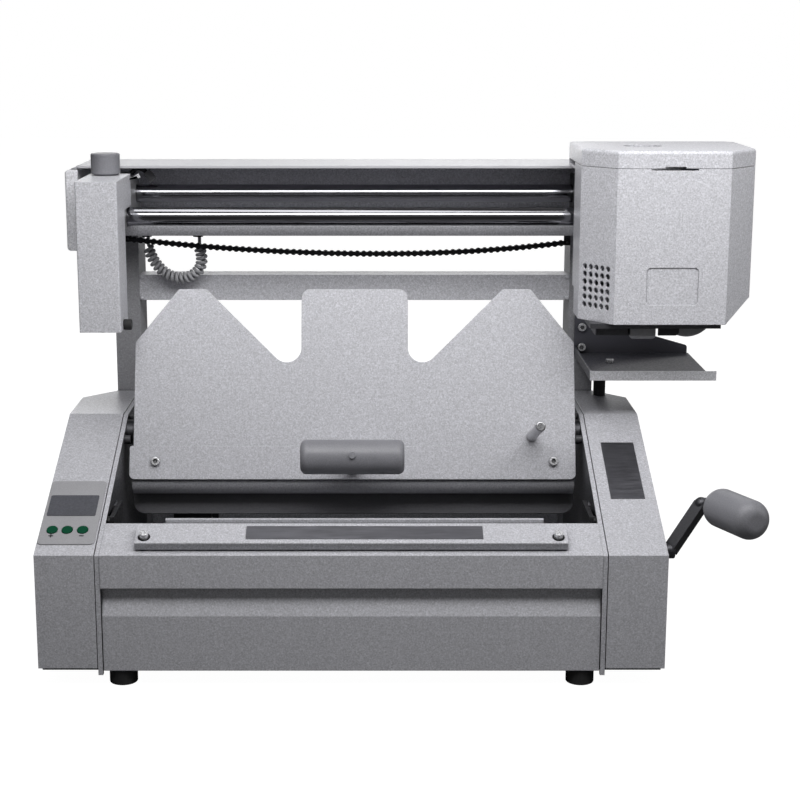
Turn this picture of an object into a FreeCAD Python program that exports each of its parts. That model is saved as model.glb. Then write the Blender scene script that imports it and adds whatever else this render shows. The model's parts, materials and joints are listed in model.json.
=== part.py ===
import FreeCAD, Part
import math
import os

# Desktop glue binding machine. Lengths in millimetres.
# X runs to the right, Y runs back from the front panels, Z up from the floor.

V = FreeCAD.Vector

# Overall sizes
body_half = 216.0
body_depth = 285.0
crease_z = 95.0
slope_run = 156.8
slope_rise = 63.5
post_room = 42.0
corner_room = 27.0
over = 5.0
running = 0.05
gap = 0.3
loose = 0.5

# Base pan, feet and sheet walls
foot_h = 11.0
foot_d = 19.5
foot_x_inset = 57.0
foot_front_y = 12.5
foot_rear_room = 17.0
foot_bolt_d = 7.0
foot_bolt_h = 2.0
pan_t = 2.7
pan_inset = 2.0
pan_front = 4.5
sheet_t = 1.5
shell_gap = 0.5
plate_inner_inset = 44.5
plate_t = 3.3
plate_front = 0.6
plate_drop = 0.5
plate_toe_z = 8.6
rear_panel_t = 2.0
rear_panel_h = 145.0
louver_w = 90.0
louver_h = 3.0
louver_pitch = 9.0
louver_z = 62.0
louver_count = 6

# Front table and stop bar
table_t = 2.0
table_run = 32.6
table_flange = 9.0
band_h = 23.6
bar_half_inset = 68.4
bar_start = 4.6
bar_w = 21.8
bar_t = 6.7
spacer_t = 0.6
spacer_d = 12.0
bar_screw_x_inset = 74.5
bar_screw_at = 6.4
bar_screw_d = 6.0
bar_screw_rise = 4.0
bar_slot_w = 8.4
bar_slot_l = 9.0
bar_nut_d = 9.0
bar_nut_h = 3.5
bar_edge_r = 1.2
bar_plate_x = 9.0
bar_plate_l = 162.0
bar_plate_w = 13.8
plate_label_t = 0.5

# Waste drawer
drawer_half_inset = 45.0
drawer_front_y = 1.5
drawer_t = 1.5
drawer_top_drop = 24.5
drawer_band_top = 31.0
drawer_band_low = 44.0
drawer_lean = 4.5
drawer_foot_gap = 0.5
tray_half_inset = 66.0
tray_depth = 150.0
tray_h = 19.0
tray_wall = 1.2
drawer_lift = 0.3
runner_w = 2.5
runner_h = 10.0
runner_gap = 0.6

# Posts, crossbar and rail beam
post_side_gap = 0.5
post_w = 20.0
post_d = 40.0
post_wall = 2.0
beam_floor_z = 287.5
beam_top_z = 341.7
beam_front = 215.0
beam_t = 2.0
beam_lip_h = 7.8
crossbar_z = 232.6
crossbar_s = 20.4
weld_r = 1.8
cap_t = 2.0
cap_front = 171.8
cap_bottom = 281.2
cap_corner_r = 1.8
cap_side_r = 3.0
cap_flange_w = 9.7
rail_d = 14.0
lower_rail_y = 185.0
lower_rail_z = 305.8
upper_rail_y = 240.0
upper_rail_z = 318.2
cap_screw_d = 10.0
cap_screw_h = 0.8

# Clamp, in its own upright frame from the trunnion axis
pivot_y = 150.0
pivot_z = 146.0
clamp_tilt = 19.4
trunnion_r = 5.0
trunnion_end = 9.5
collar_r = 9.3
nut_r = 7.0
nut_t = 3.0
face_v = 16.1
wing_t = 2.0
wing_x = 1.0
wing_half_inset = 50.6
wing_low = 37.5
wing_shoulder = 66.0
wing_top = 107.0
wing_tip_out_inset = 82.9
wing_tip_in_inset = 103.7
notch_u = 35.6
tab_half = 40.2
notch_r = 11.0
tab_r = 7.0
tip_r = 2.0
wing_foot_r = 4.0
band_t = 0.8
band_left_inset = 48.8
band_right_inset = 49.8
band_high = 12.4
band_r = 1.5
bar2_half_inset = 50.5
bar2_low = 47.0
bar2_high = 12.0
bar2_t = 12.0
nose_r = 9.0
arm_t = 6.0
arm_low = 40.0
arm_back = 12.0
arm_r = 12.0
lug_half = 3.0
lug_reach = 20.0
lug_angle = 8.0
peg_r = 3.0
peg_at = 17.0
flip_angle = 160.6
wing_screw_x_inset = 67.3
wing_screw_u = 24.1
wing_screw_d = 6.4
wing_screw_h = 3.0
hex_w = 3.2
hex_deep = 1.8
pin_x_inset = 82.2
pin_u = -5.4
pin_d = 7.3
pin_l = 70.0
pin_tip_r = 1.0

# Clamping screw, handle and rear jaw
screw_u = -25.0
screw_r = 5.0
screw_tail = 50.0
handle_v = 63.0
handle_l = 75.0
handle_d = 25.0
handle_end_r = 4.5
hub_d = 16.0
stud_d = 5.0
stud_h = 1.2
ring_d = 14.0
ring_t = 1.5
jaw_gap = 8.0
jaw_t = 6.0
jaw_low = 61.5
jaw_step = 42.0
jaw_high = 14.0
jaw_half_inset = 49.4
jaw_side_gap = 3.5
jaw_corner_r = 9.0
jaw_pocket_r = 8.5
jaw_pocket_deep = 2.6
guide_x = 100.0
guide_u = -30.0
guide_r = 4.0
guide_tail = 48.0

# Nip carriage and hand lever
nip_y = 35.0
nip_t = 3.0
nip_left_inset = 86.0
nip_right_inset = 82.0
nip_top = 110.4
nip_low = 67.0
nip_cross_z = 71.0
nip_cross_back = 50.0
nip_cross_t = 4.0
nip_arm_t = 3.0
nip_arm_x_inset = 50.0
nip_arm_back = 78.0
nip_arm_top = 112.0
nip_arm_low = 99.0
nip_pin_r = 4.0
nip_pin_z = 106.0
nip_pin_front = 44.0
nip_pin_back = 72.0
nip_pin_end = 178.0
nip_travel = 13.1
rack_x_inset = 96.0
rack_w = 10.0
rack_front = 8.5
shaft_y = 24.0
shaft_z = 91.0
shaft_r = 4.75
pinion_r = 10.0
pinion_w = 8.0
shaft_left_inset = 38.0
hub_x_reach = 1.6
hub_l = 6.4
hub_r = 5.4
lever_side = 8.0
knee_share = 0.62
bend_x_reach = 26.0
bend_y = 28.0
bend_z = 123.4
neck_x_reach = 34.6
neck_y = 25.0
neck_z = 123.6
grip_dx = 18.0
grip_dy = -51.0
grip_dz = 2.2
grip_d = 27.0
grip_end_r = 9.0
rod_r = 3.6
rod_share = 0.72
neck = 1.2

# Control panel on the left slope
fascia_left_inset = 0.4
fascia_right_inset = 39.6
fascia_r = 3.2
fascia_low = 11.4
fascia_high = 82.9
fascia_t = 0.8
window_left_inset = 2.4
window_right_inset = 36.5
window_low = 42.4
window_high = 65.6
window_r = 1.2
window_t = 0.5
button_w = 7.3
button_l = 8.2
button_at = 26.8
button_insets = (8.7, 19.1, 29.8)
button_rise = 0.6
button_deep = 1.2
button_travel = 1.2
stem_r = 1.5
board_drop = 8.0
board_t = 2.0
board_leg_r = 2.0
badge_left_inset = 32.0
badge_right_inset = 8.0
badge_low = 63.0
badge_high = 131.0

# Drip tray on the right post
tray_left_inset = 39.0
tray_right_reach = 55.3
tray_floor_right_reach = 53.0
tray_front = 138.0
tray_z = 188.1
tray_t = 1.5
tray_lip = 7.0
tray_back_h = 32.1
tray_slope_x_inset = 33.0
tray_knee_x_reach = 51.8
tray_knee_h = 7.8
tray_knee_r = 2.0
tray_screw_x_inset = 33.2
tray_screw_zs_shares = (0.206, 0.713)
tray_screw_d = 6.5
tray_screw_h = 3.0
floor_screw_x_inset = 15.6
floor_screw_y = 201.2
buffer_x_inset = 20.0
buffer_y = 226.0
buffer_d = 9.5

# Milling carriage
mill_left_inset = 16.1
mill_right_inset = 46.4
mill_front = 120.0
mill_rear = 157.0
mill_upper_rear = 192.0
mill_bottom = 227.6
mill_step_z = 313.6
mill_top = 337.5
mill_shelf_z = 250.0
mill_block_in = 2.0
mill_block_z = 297.8
mill_block_top = 333.0
mill_block_rear = 256.0
mill_x_room = 1.5
mill_edge_r = 1.0
motor_d = 25.0
motor_l = 70.0
motor_y = 138.5
spindle_r = 3.0
spindle_top = 262.0
cutter_d = 24.0
cutter_t = 5.0
cutter_z = 226.4
cutter_hub_d = 10.0
cutter_hub_top = 246.0
tooth_count = 6
tooth_w = 3.0
tooth_deep = 3.0
knob_x_inset = 29.7
knob_y = 180.0
knob_d = 21.8
knob_h = 16.3
knob_neck_h = 0.8
knob_neck_d = 18.0
knob_pin_r = 4.0
knob_pin_l = 14.0
bumper_y = 135.5
bumper_z = 231.0
bumper_d = 8.0
bumper_h = 6.0

# Glue pot carriage
pot_left_inset = 50.6
pot_right_reach = 74.9
pot_front_left_inset = 28.1
pot_front_right_reach = 52.3
pot_front = 100.0
pot_chamfer_d = 28.5
pot_rear = 168.0
pot_low_rear = 158.0
pot_step_z = 256.0
pot_bottom = 236.8
pot_bevel_z = 252.8
pot_top = 348.2
pot_shelf_z = 343.0
pot_shelf_t = 1.8
pot_shelf_rear = 206.0
pot_lip_drop = 3.0
lid_top = 361.0
lid_rear = 208.0
lid_rear_chamfer = 8.0
lid_edge_r = 2.5
feed_x_inset = 3.0
feed_y = 154.0
feed_d = 28.0
notch_left_inset = 4.3
notch_right_reach = 28.8
notch_h = 1.1
finger_left_reach = 5.3
finger_right_reach = 20.1
finger_h = 1.2
hinge_back = 3.6
hinge_r = 3.0
hinge_pin_r = 1.4
knuckle_in = 20.0
knuckle_l = 15.0
leaf_t = 1.4
deck_z = 276.0
deck_t = 2.0
tank_left_inset = 40.0
tank_right_reach = 65.0
tank_front = 130.0
tank_rear = 165.0
tank_wall = 3.0
tank_top = 338.0
tank_mouth_front = 106.0
feed_block_left_inset = 14.2
feed_block_right_reach = 4.4
feed_block_front = 112.0
feed_block_rear = 150.0
feed_block_low = 224.0
feed_block_r = 3.0
roller_x_reach = 27.3
roller_z = 245.8
roller_d = 40.6
roller_front = 114.0
roller_l = 38.0
roller_pin_r = 4.0
side_t = 2.5
side_half = 14.0
side_low = 233.5
scraper_left_reach = 6.0
scraper_right_reach = 21.0
scraper_low = 227.2
scraper_r = 3.0
trough_left_inset = 39.2
trough_right_inset = 14.8
trough_front = 113.0
trough_rear = 150.0
trough_low = 226.8
base_plate_t = 3.8
base_plate_left_inset = 44.0
base_plate_right_reach = 50.4
base_plate_front = 106.0
base_plate_rear = 156.5
mouth_right_reach = 50.0
mouth_front = 109.0
vent_cols = 5
vent_rows = 6
vent_d = 4.2
vent_pitch = 5.75
vent_rise = 5.56
vent_low = 248.4
vent_in = 6.1
badge2_x_reach = 13.2
badge2_z = 264.6
badge2_w = 37.2
badge2_h = 26.7
badge2_r = 3.0
badge2_deep = 0.8
bracket_left_inset = 44.0
bracket_right_inset = 10.4

# Link chain under the beam
chain_y = 222.0
chain_left_inset = 39.0
chain_left_z = 284.3
chain_right_inset = 40.0
chain_right_z = 282.6
chain_low_x = 22.0
chain_low_z = 272.6
link_pitch = 5.0
link_h = 4.6
waist_share = 0.62
inner_w = 2.2
outer_t = 0.7
link_gap = 0.08
link_pin_r = 0.9
hook_t = 2.0
hook_w = 5.0

# Curly cord under the beam
cord_y = 232.0
cord_outer_d = 9.6
cord_wire_d = 2.7
curl_count = 20
cord_lead = 4.0
gland_d = 8.0
gland_h = 3.0
cord_route = ((-164.2, 280.6), (-160.8, 270.0), (-155.6, 261.2), (-148.0, 254.4),
              (-138.0, 251.4), (-128.6, 253.4), (-122.0, 259.4), (-120.2, 267.4),
              (-121.8, 275.0), (-123.6, 281.0))

# Power inlet
inlet_x_inset = 81.0
inlet_z = 36.0
inlet_w = 28.0
inlet_h = 22.0
inlet_deep = 18.0
inlet_flange = 5.0
inlet_socket_deep = 12.0
inlet_socket_in = 4.0
inlet_pin_l = 9.0
inlet_pin_w = 2.0
inlet_pin_h = 4.0

# Places worked out from the sizes above
post_front = body_depth - post_room
corner_front = post_front - corner_room
foot_x = body_half - foot_x_inset
foot_rear_y = body_depth - foot_rear_room
pin_x = body_half - pin_x_inset
plate_inner = body_half - plate_inner_inset
bar_half = body_half - bar_half_inset
bar_screw_x = body_half - bar_screw_x_inset
drawer_half = body_half - drawer_half_inset
tray_half = body_half - tray_half_inset
post_inner = plate_inner + post_side_gap
wing_half = body_half - wing_half_inset
wing_tip_out = body_half - wing_tip_out_inset
wing_tip_in = body_half - wing_tip_in_inset
band_left = body_half - band_left_inset
band_right = body_half - band_right_inset
bar2_half = body_half - bar2_half_inset
wing_screw_x = body_half - wing_screw_x_inset
jaw_half = body_half - jaw_half_inset
jaw_upper_half = bar2_half - arm_t - jaw_side_gap
nip_left = body_half - nip_left_inset
nip_right = body_half - nip_right_inset
nip_arm_x = body_half - nip_arm_x_inset
rack_x = body_half - rack_x_inset
shaft_left = body_half - shaft_left_inset
hub_x = body_half + hub_x_reach
bend_x = body_half + bend_x_reach
neck_x = body_half + neck_x_reach
fascia_left = body_half - fascia_left_inset
fascia_right = body_half - fascia_right_inset
window_left = body_half - window_left_inset
window_right = body_half - window_right_inset
button_xs = tuple(body_half - inset for inset in button_insets)
badge_left = body_half - badge_left_inset
badge_right = body_half - badge_right_inset
tray_left = body_half - tray_left_inset
tray_right = body_half + tray_right_reach
tray_floor_right = body_half + tray_floor_right_reach
tray_slope_x = body_half - tray_slope_x_inset
tray_knee_x = body_half + tray_knee_x_reach
tray_screw_x = body_half - tray_screw_x_inset
floor_screw_x = body_half - floor_screw_x_inset
buffer_x = body_half - buffer_x_inset
mill_left = body_half - mill_left_inset
mill_right = body_half - mill_right_inset
knob_x = body_half - knob_x_inset
pot_left = body_half - pot_left_inset
pot_right = body_half + pot_right_reach
pot_front_left = body_half - pot_front_left_inset
pot_front_right = body_half + pot_front_right_reach
feed_x = body_half - feed_x_inset
notch_left = body_half - notch_left_inset
notch_right = body_half + notch_right_reach
finger_left = body_half + finger_left_reach
finger_right = body_half + finger_right_reach
tank_left = body_half - tank_left_inset
tank_right = body_half + tank_right_reach
feed_block_left = body_half - feed_block_left_inset
feed_block_right = body_half + feed_block_right_reach
roller_x = body_half + roller_x_reach
scraper_left = body_half + scraper_left_reach
scraper_right = body_half + scraper_right_reach
trough_left = body_half - trough_left_inset
trough_right = body_half - trough_right_inset
base_plate_left = body_half - base_plate_left_inset
base_plate_right = body_half + base_plate_right_reach
mouth_right = body_half + mouth_right_reach
badge2_x = body_half + badge2_x_reach
bracket_left = body_half - bracket_left_inset
bracket_right = body_half - bracket_right_inset
chain_left = body_half - chain_left_inset
chain_right = body_half - chain_right_inset
inlet_x = body_half - inlet_x_inset
pan_top = foot_h + pan_t
slope = math.degrees(math.atan2(slope_rise, slope_run))
top_z = crease_z + slope_rise
face_top = -face_v + wing_t
bar2_back = face_top + bar2_t
jaw_front = bar2_back + jaw_gap
cap_inner = body_half - cap_t
bevel_run = pot_right - pot_front_right
handle_rim = handle_v - handle_d / 2
origin_x = (pot_right - body_half) / 2
grip_reach = math.sqrt(grip_dx ** 2 + grip_dy ** 2 + grip_dz ** 2)
grip_front = neck_y + grip_dy - grip_d / 2 * grip_dx / grip_reach * 0.65
origin_y = (body_depth + grip_front) / 2


def box(x0, x1, y0, y1, z0, z1):
    return Part.makeBox(x1 - x0, y1 - y0, z1 - z0, V(x0, y0, z0))


def cyl(radius, start, end):
    run = end - start
    return Part.makeCylinder(radius, run.Length, start, run)


def flat(points, radii=0):
    """Face in the XY plane with rounded corners."""
    count = len(points)
    if not isinstance(radii, (list, tuple)):
        radii = [radii] * count
    stops = []
    for i in range(count):
        here = V(points[i][0], points[i][1], 0)
        if not radii[i]:
            stops.append((here, None, here))
            continue
        back = V(points[i - 1][0], points[i - 1][1], 0) - here
        ahead = V(points[(i + 1) % count][0], points[(i + 1) % count][1], 0) - here
        half = back.getAngle(ahead) / 2
        cut = radii[i] / math.tan(half)
        back.normalize()
        ahead.normalize()
        middle = back + ahead
        middle.normalize()
        centre = here + middle * (radii[i] / math.sin(half))
        stops.append((here + back * cut, centre - middle * radii[i], here + ahead * cut))
    edges = []
    for i in range(count):
        start, mid, end = stops[i]
        if mid is not None:
            edges.append(Part.Arc(start, mid, end).toShape())
        following = stops[(i + 1) % count][0]
        if (following - end).Length > 0.001:
            edges.append(Part.LineSegment(end, following).toShape())
    return Part.Face(Part.Wire(edges))


def slab_xy(points, z0, z1, radii=0):
    face = flat(points, radii)
    face.translate(V(0, 0, z0))
    return face.extrude(V(0, 0, z1 - z0))


def slab_xz(points, y0, y1, radii=0):
    face = flat(points, radii)
    face.rotate(V(0, 0, 0), V(1, 0, 0), 90)
    face.translate(V(0, y0, 0))
    return face.extrude(V(0, y1 - y0, 0))


def slab_yz(points, x0, x1, radii=0):
    face = flat(points, radii)
    face.rotate(V(0, 0, 0), V(1, 0, 0), 90)
    face.rotate(V(0, 0, 0), V(0, 0, 1), 90)
    face.translate(V(x0, 0, 0))
    return face.extrude(V(x1 - x0, 0, 0))


def mirrored(shape):
    return shape.mirror(V(0, 0, 0), V(1, 0, 0))


def both(shape):
    return [shape, mirrored(shape)]


def rounded(shape, radius, wanted):
    edges = [edge for edge in shape.Edges if wanted(edge)]
    return shape.makeFillet(radius, edges) if edges else shape


def rings(shape, radius):
    """Rounds the circular edges of a turned piece."""
    return rounded(shape, radius, lambda e: e.Curve.TypeId == "Part::GeomCircle")


def on_slope(shape):
    """From the frame X, along the slope, square to it."""
    shape.rotate(V(0, 0, 0), V(1, 0, 0), slope)
    shape.translate(V(0, 0, crease_z))
    return shape


def on_clamp(shape):
    """From the clamp's own frame X, back, up the plate."""
    shape.rotate(V(0, 0, 0), V(1, 0, 0), -clamp_tilt)
    shape.translate(V(0, pivot_y, pivot_z))
    return shape


def slot(width, length, x, y, z0, z1):
    """Rounded slot along Y."""
    if length <= width:
        return cyl(width / 2, V(x, y, z0), V(x, y, z1))
    reach = (length - width) / 2
    body = box(x - width / 2, x + width / 2, y - reach, y + reach, z0, z1)
    ends = [cyl(width / 2, V(x, y + s * reach, z0), V(x, y + s * reach, z1)) for s in (-1, 1)]
    return body.fuse(ends).removeSplitter()


def hex_socket(x, y, z, depth):
    """Cutter for a hexagon socket sunk downwards from z."""
    points = [(x + hex_w / math.sqrt(3) * math.cos(math.radians(60 * i)),
               y + hex_w / math.sqrt(3) * math.sin(math.radians(60 * i))) for i in range(6)]
    return slab_xy(points, z - depth, z + over)


def profile(inset, low, rear):
    """Side outline of the housings, drawn in by an inset."""
    turn = math.radians(slope) / 2
    return [(inset, low), (inset, crease_z - inset * math.tan(math.radians(45) - turn)),
            (slope_run + inset * math.tan(turn), top_z - inset), (rear, top_z - inset), (rear, low)]


def plan(inset):
    """Plan outline of the right housing and pan corner."""
    cut = inset * math.tan(math.radians(22.5))
    return [(-over, -over), (body_half - inset, -over), (body_half - inset, corner_front - cut),
            (post_inner + post_w - cut, post_front), (-over, post_front)]


def base_pan():
    half = body_half - pan_inset
    rear = body_depth - rear_panel_t
    pan = slab_xy([(-half, pan_front), (half, pan_front), (half, corner_front),
                   (post_inner + post_w, post_front), (post_inner + post_w, rear),
                   (-post_inner - post_w, rear), (-post_inner - post_w, post_front),
                   (-half, corner_front)], foot_h, pan_top)
    near = tray_half + runner_gap
    runners = both(box(near, near + runner_w, pan_front + over, tray_depth, pan_top - pan_t / 2,
                       pan_top + runner_h))
    return pan.fuse(runners).removeSplitter()


def rubber_feet():
    feet = []
    for y in (foot_front_y, foot_rear_y):
        foot = cyl(foot_d / 2, V(foot_x, y, 0), V(foot_x, y, foot_h))
        hole = cyl(foot_bolt_d / 2, V(foot_x, y, -over), V(foot_x, y, foot_bolt_h))
        foot = rings(foot, foot_h / 12).cut(hole)
        feet += both(foot)
    return feet


def side_plate():
    plate = slab_yz([(plate_front, plate_toe_z), (plate_front, crease_z - plate_drop),
                     (slope_run, top_z - plate_drop), (post_front, top_z - plate_drop),
                     (post_front, pan_top), (pan_front - gap, pan_top), (pan_front - gap, plate_toe_z)],
                    plate_inner, plate_inner + plate_t)
    far = plate_inner - over
    end = plate_inner + plate_t + over
    holes = [cyl(trunnion_r + running, V(far, pivot_y, pivot_z), V(end, pivot_y, pivot_z)),
             cyl(shaft_r + running, V(far, shaft_y, shaft_z), V(end, shaft_y, shaft_z))]
    room = nip_pin_r + 2 * running
    holes.append(slab_yz([(nip_pin_front - room - gap, nip_pin_z - room),
                          (nip_pin_back + nip_travel + room + gap, nip_pin_z - room),
                          (nip_pin_back + nip_travel + room + gap, nip_pin_z + room),
                          (nip_pin_front - room - gap, nip_pin_z + room)], far, end,
                         room * 0.96))
    plate = plate.cut(holes)
    angle = math.radians(lug_angle)
    turn = math.asin((lug_half + peg_r + gap) / peg_at)
    for a in (angle + turn, angle - math.radians(flip_angle) - turn):
        y = pivot_y + peg_at * math.cos(a)
        z = pivot_z + peg_at * math.sin(a)
        plate = plate.fuse(cyl(peg_r, V(bar2_half + peg_r / 2, y, z), V(plate_inner + loose, y, z)))
    return plate


def housing_shell():
    inner = plate_inner + plate_t + shell_gap
    outer = slab_yz(profile(0, pan_top, post_front), inner, body_half)
    outer = outer.common(slab_xy(plan(0), 0, top_z + over))
    hollow = slab_yz(profile(sheet_t, pan_top - over, post_front + over), inner - over, body_half)
    hollow = hollow.common(slab_xy(plan(sheet_t), -over, top_z + over))
    tail = box(inner - over, post_inner + post_w - sheet_t, post_front - over,
               post_front + over, -over, top_z - sheet_t)
    return outer.cut([hollow, tail])


def left_housing():
    shell = mirrored(housing_shell())
    holes = []
    for x in button_xs:
        holes.append(slot(button_w + 2 * gap, button_l + 2 * gap, -x, button_at, -over, over))
    inset = (window_high - window_low) / 10
    holes.append(box(-window_left + inset, -window_right - inset, window_low + inset,
                     window_high - inset, -over, over))
    return shell.cut([on_slope(hole) for hole in holes])


def right_housing():
    hole = cyl(shaft_r + running, V(plate_inner, shaft_y, shaft_z),
               V(body_half + over, shaft_y, shaft_z))
    return housing_shell().cut(hole)


def rear_panel():
    panel = box(-post_inner, post_inner, body_depth - rear_panel_t, body_depth, pan_top - pan_t,
                pan_top + rear_panel_h)
    cuts = [box(-inlet_x - inlet_w / 2 - gap, -inlet_x + inlet_w / 2 + gap, post_front,
                body_depth + over, inlet_z, inlet_z + inlet_h)]
    for i in range(louver_count):
        z = louver_z + i * louver_pitch
        for x in (-louver_w, louver_w):
            cuts.append(box(x - louver_w / 2, x + louver_w / 2, post_front,
                            body_depth + over, z, z + louver_h))
    return panel.cut(cuts)


def front_table():
    rise = table_run * math.tan(math.radians(slope))
    drop = table_t / math.cos(math.radians(slope))
    knee = table_t * math.tan(math.radians(45 - slope / 2))
    points = [(0, crease_z - band_h), (table_t, crease_z - band_h), (table_t, crease_z - knee),
              (table_run - table_t, crease_z + rise - drop - table_t * math.tan(math.radians(slope))),
              (table_run - table_t, crease_z + rise - table_flange),
              (table_run, crease_z + rise - table_flange), (table_run, crease_z + rise),
              (0, crease_z)]
    table = slab_yz(points, -plate_inner, plate_inner)
    holes = [on_slope(cyl(bar_screw_d / 2 + running, V(x, bar_start + bar_screw_at, -over),
                          V(x, bar_start + bar_screw_at, over))) for x in (-bar_screw_x, bar_screw_x)]
    return table.cut(holes)


def stop_bar():
    low = spacer_t
    bar = box(-bar_half, bar_half, bar_start, bar_start + bar_w, low, low + bar_t)
    bar = rounded(bar, bar_edge_r, lambda e: e.BoundBox.XLength > bar_half)
    at = bar_start + bar_screw_at
    cuts = [slot(bar_slot_w, bar_slot_l, x, at, -over, low + bar_t + over)
            for x in (-bar_screw_x, bar_screw_x)]
    return on_slope(bar.cut(cuts))


def bar_spacers():
    at = bar_start + bar_screw_at
    out = []
    for x in (-bar_screw_x, bar_screw_x):
        ring = cyl(spacer_d / 2, V(x, at, 0), V(x, at, spacer_t))
        out.append(on_slope(ring.cut(cyl(bar_screw_d / 2 + running, V(x, at, -over), V(x, at, over)))))
    return out


def bar_screws():
    at = bar_start + bar_screw_at
    top = spacer_t + bar_t + bar_screw_rise
    out = []
    for x in (-bar_screw_x, bar_screw_x):
        low = -table_t - bar_nut_h
        screw = rings(cyl(bar_screw_d / 2, V(x, at, low), V(x, at, top)), bar_screw_d / 10)
        nut = cyl(bar_nut_d / 2, V(x, at, low), V(x, at, -table_t))
        out.append(on_slope(screw.fuse(nut).removeSplitter()))
    return out


def bare_plates():
    top = spacer_t + bar_t
    mid = bar_start + bar_w / 2
    first = box(bar_plate_x - bar_plate_l / 2, bar_plate_x + bar_plate_l / 2, mid - bar_plate_w / 2,
                mid + bar_plate_w / 2, top, top + plate_label_t)
    second = box(badge_left, badge_right, badge_low, badge_high, 0, plate_label_t)
    return [on_slope(first), on_slope(second)]


def waste_drawer():
    y0 = drawer_front_y
    y1 = y0 + drawer_lean
    top = crease_z - drawer_top_drop
    bend = crease_z - drawer_band_top
    low = crease_z - drawer_band_low
    foot = foot_h + drawer_foot_gap
    front = slab_yz([(y0, foot), (y0, low), (y1, bend), (y1, top), (y1 + drawer_t, top),
                     (y1 + drawer_t, bend), (y0 + drawer_t, low), (y0 + drawer_t, foot)],
                    -drawer_half, drawer_half)
    floor = pan_top + drawer_lift
    tray = box(-tray_half, tray_half, y0 + drawer_t / 2, tray_depth, floor, floor + tray_h)
    well = box(-tray_half + tray_wall, tray_half - tray_wall, y0 + drawer_t + tray_wall,
               tray_depth - tray_wall, floor + tray_wall, floor + tray_h + over)
    return front.fuse(tray).cut(well).removeSplitter()


def post(sign):
    x0 = post_inner if sign > 0 else -post_inner - post_w
    tube = box(x0, x0 + post_w, post_front, post_front + post_d, pan_top, beam_floor_z)
    bore = box(x0 + post_wall, x0 + post_w - post_wall, post_front + post_wall,
               post_front + post_d - post_wall, pan_top - over, beam_floor_z - post_wall)
    return tube.cut(bore)


def crossbar():
    bar = box(-post_inner, post_inner, post_front, post_front + crossbar_s, crossbar_z,
              crossbar_z + crossbar_s)
    beads = []
    for z in (crossbar_z + weld_r, crossbar_z + crossbar_s - weld_r):
        bead = Part.makeSphere(weld_r, V(post_inner - weld_r, post_front, z))
        beads += both(bead)
    return bar.fuse(beads)


def rail_beam():
    half = cap_inner
    rear = body_depth
    top = box(-half, half, beam_front, rear, beam_top_z - beam_t, beam_top_z)
    back = box(-half, half, rear - beam_t, rear, beam_floor_z, beam_top_z)
    floor = box(-half, half, beam_front, rear, beam_floor_z, beam_floor_z + beam_t)
    lip = box(-half, half, beam_front, beam_front + beam_t, beam_floor_z, beam_floor_z + beam_lip_h)
    return top.fuse([back, floor, lip]).removeSplitter()


def end_caps():
    outline = [(cap_front, cap_bottom), (body_depth, cap_bottom), (body_depth, beam_top_z),
               (cap_front, beam_top_z)]
    cap = slab_yz(outline, cap_inner, body_half)
    flange = box(body_half - cap_flange_w, body_half, cap_front, cap_front + cap_t, cap_bottom, beam_top_z)
    outer = slab_xz([(cap_inner - cap_flange_w, cap_bottom), (body_half, cap_bottom),
                     (body_half, beam_top_z), (cap_inner - cap_flange_w, beam_top_z)],
                    cap_front - over, body_depth + over, [0, cap_side_r, cap_side_r, 0])
    cap = cap.fuse(flange).removeSplitter()
    cap = rounded(cap, cap_corner_r, lambda e: e.BoundBox.YLength < gap
                  and e.CenterOfMass.x > body_half - gap and e.CenterOfMass.y < cap_front + gap)
    return both(cap.common(outer))


def rail(y, z):
    return cyl(rail_d / 2, V(-cap_inner, y, z), V(cap_inner, y, z))


def wing_plate():
    left = wing_x - wing_half
    right = wing_x + wing_half
    half = [(tab_half, wing_top, tab_r), (tab_half, notch_u, notch_r), (wing_tip_in, wing_top, tip_r),
            (wing_tip_out, wing_top, tip_r), (wing_half, wing_shoulder, tip_r),
            (wing_half, -wing_low, wing_foot_r)]
    points = [(wing_x + x, u) for x, u, r in half] + [(wing_x - x, u) for x, u, r in reversed(half)]
    radii = [r for x, u, r in half] + [r for x, u, r in reversed(half)]
    plate = slab_xz(points, -face_v, face_top, radii)
    band = slab_xz([(-band_left, -wing_low), (band_right, -wing_low), (band_right, -band_high),
                    (-band_left, -band_high)], -face_v - band_t, -face_v,
                   [wing_foot_r, wing_foot_r, band_r, band_r])
    plate = plate.fuse(band)
    holes = [cyl(screw_r + 3 * gap, V(0, -face_v - over, screw_u), V(0, over, screw_u)),
             cyl(pin_d / 2 + running, V(pin_x, -face_v - over, pin_u), V(pin_x, over, pin_u))]
    for x in (left + wing_half - wing_screw_x, right - wing_half + wing_screw_x):
        holes.append(cyl(wing_screw_d / 4 + running, V(x, -face_v - over, -wing_screw_u),
                         V(x, over, -wing_screw_u)))
    return on_clamp(plate.cut(holes))


def clamp_bar():
    bar = box(-bar2_half, bar2_half, face_top, bar2_back, -bar2_low, -bar2_high)
    bar = rounded(bar, nose_r, lambda e: e.BoundBox.XLength > bar2_half
                  and e.CenterOfMass.y < face_top + 0.1 * bar2_t
                  and e.CenterOfMass.z < -bar2_low + 0.1 * bar2_t)
    holes = [cyl(screw_r + running, V(0, -face_v - over, screw_u), V(0, over, screw_u))]
    for x in (wing_x - wing_screw_x, wing_x + wing_screw_x):
        holes.append(cyl(wing_screw_d / 4, V(x, -face_v, -wing_screw_u),
                         V(x, bar2_back - sheet_t, -wing_screw_u)))
    for x in (-guide_x, guide_x):
        holes.append(cyl(guide_r, V(x, bar2_back - bar2_t / 2, guide_u), V(x, over, guide_u)))
    return on_clamp(bar.cut(holes))


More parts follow.
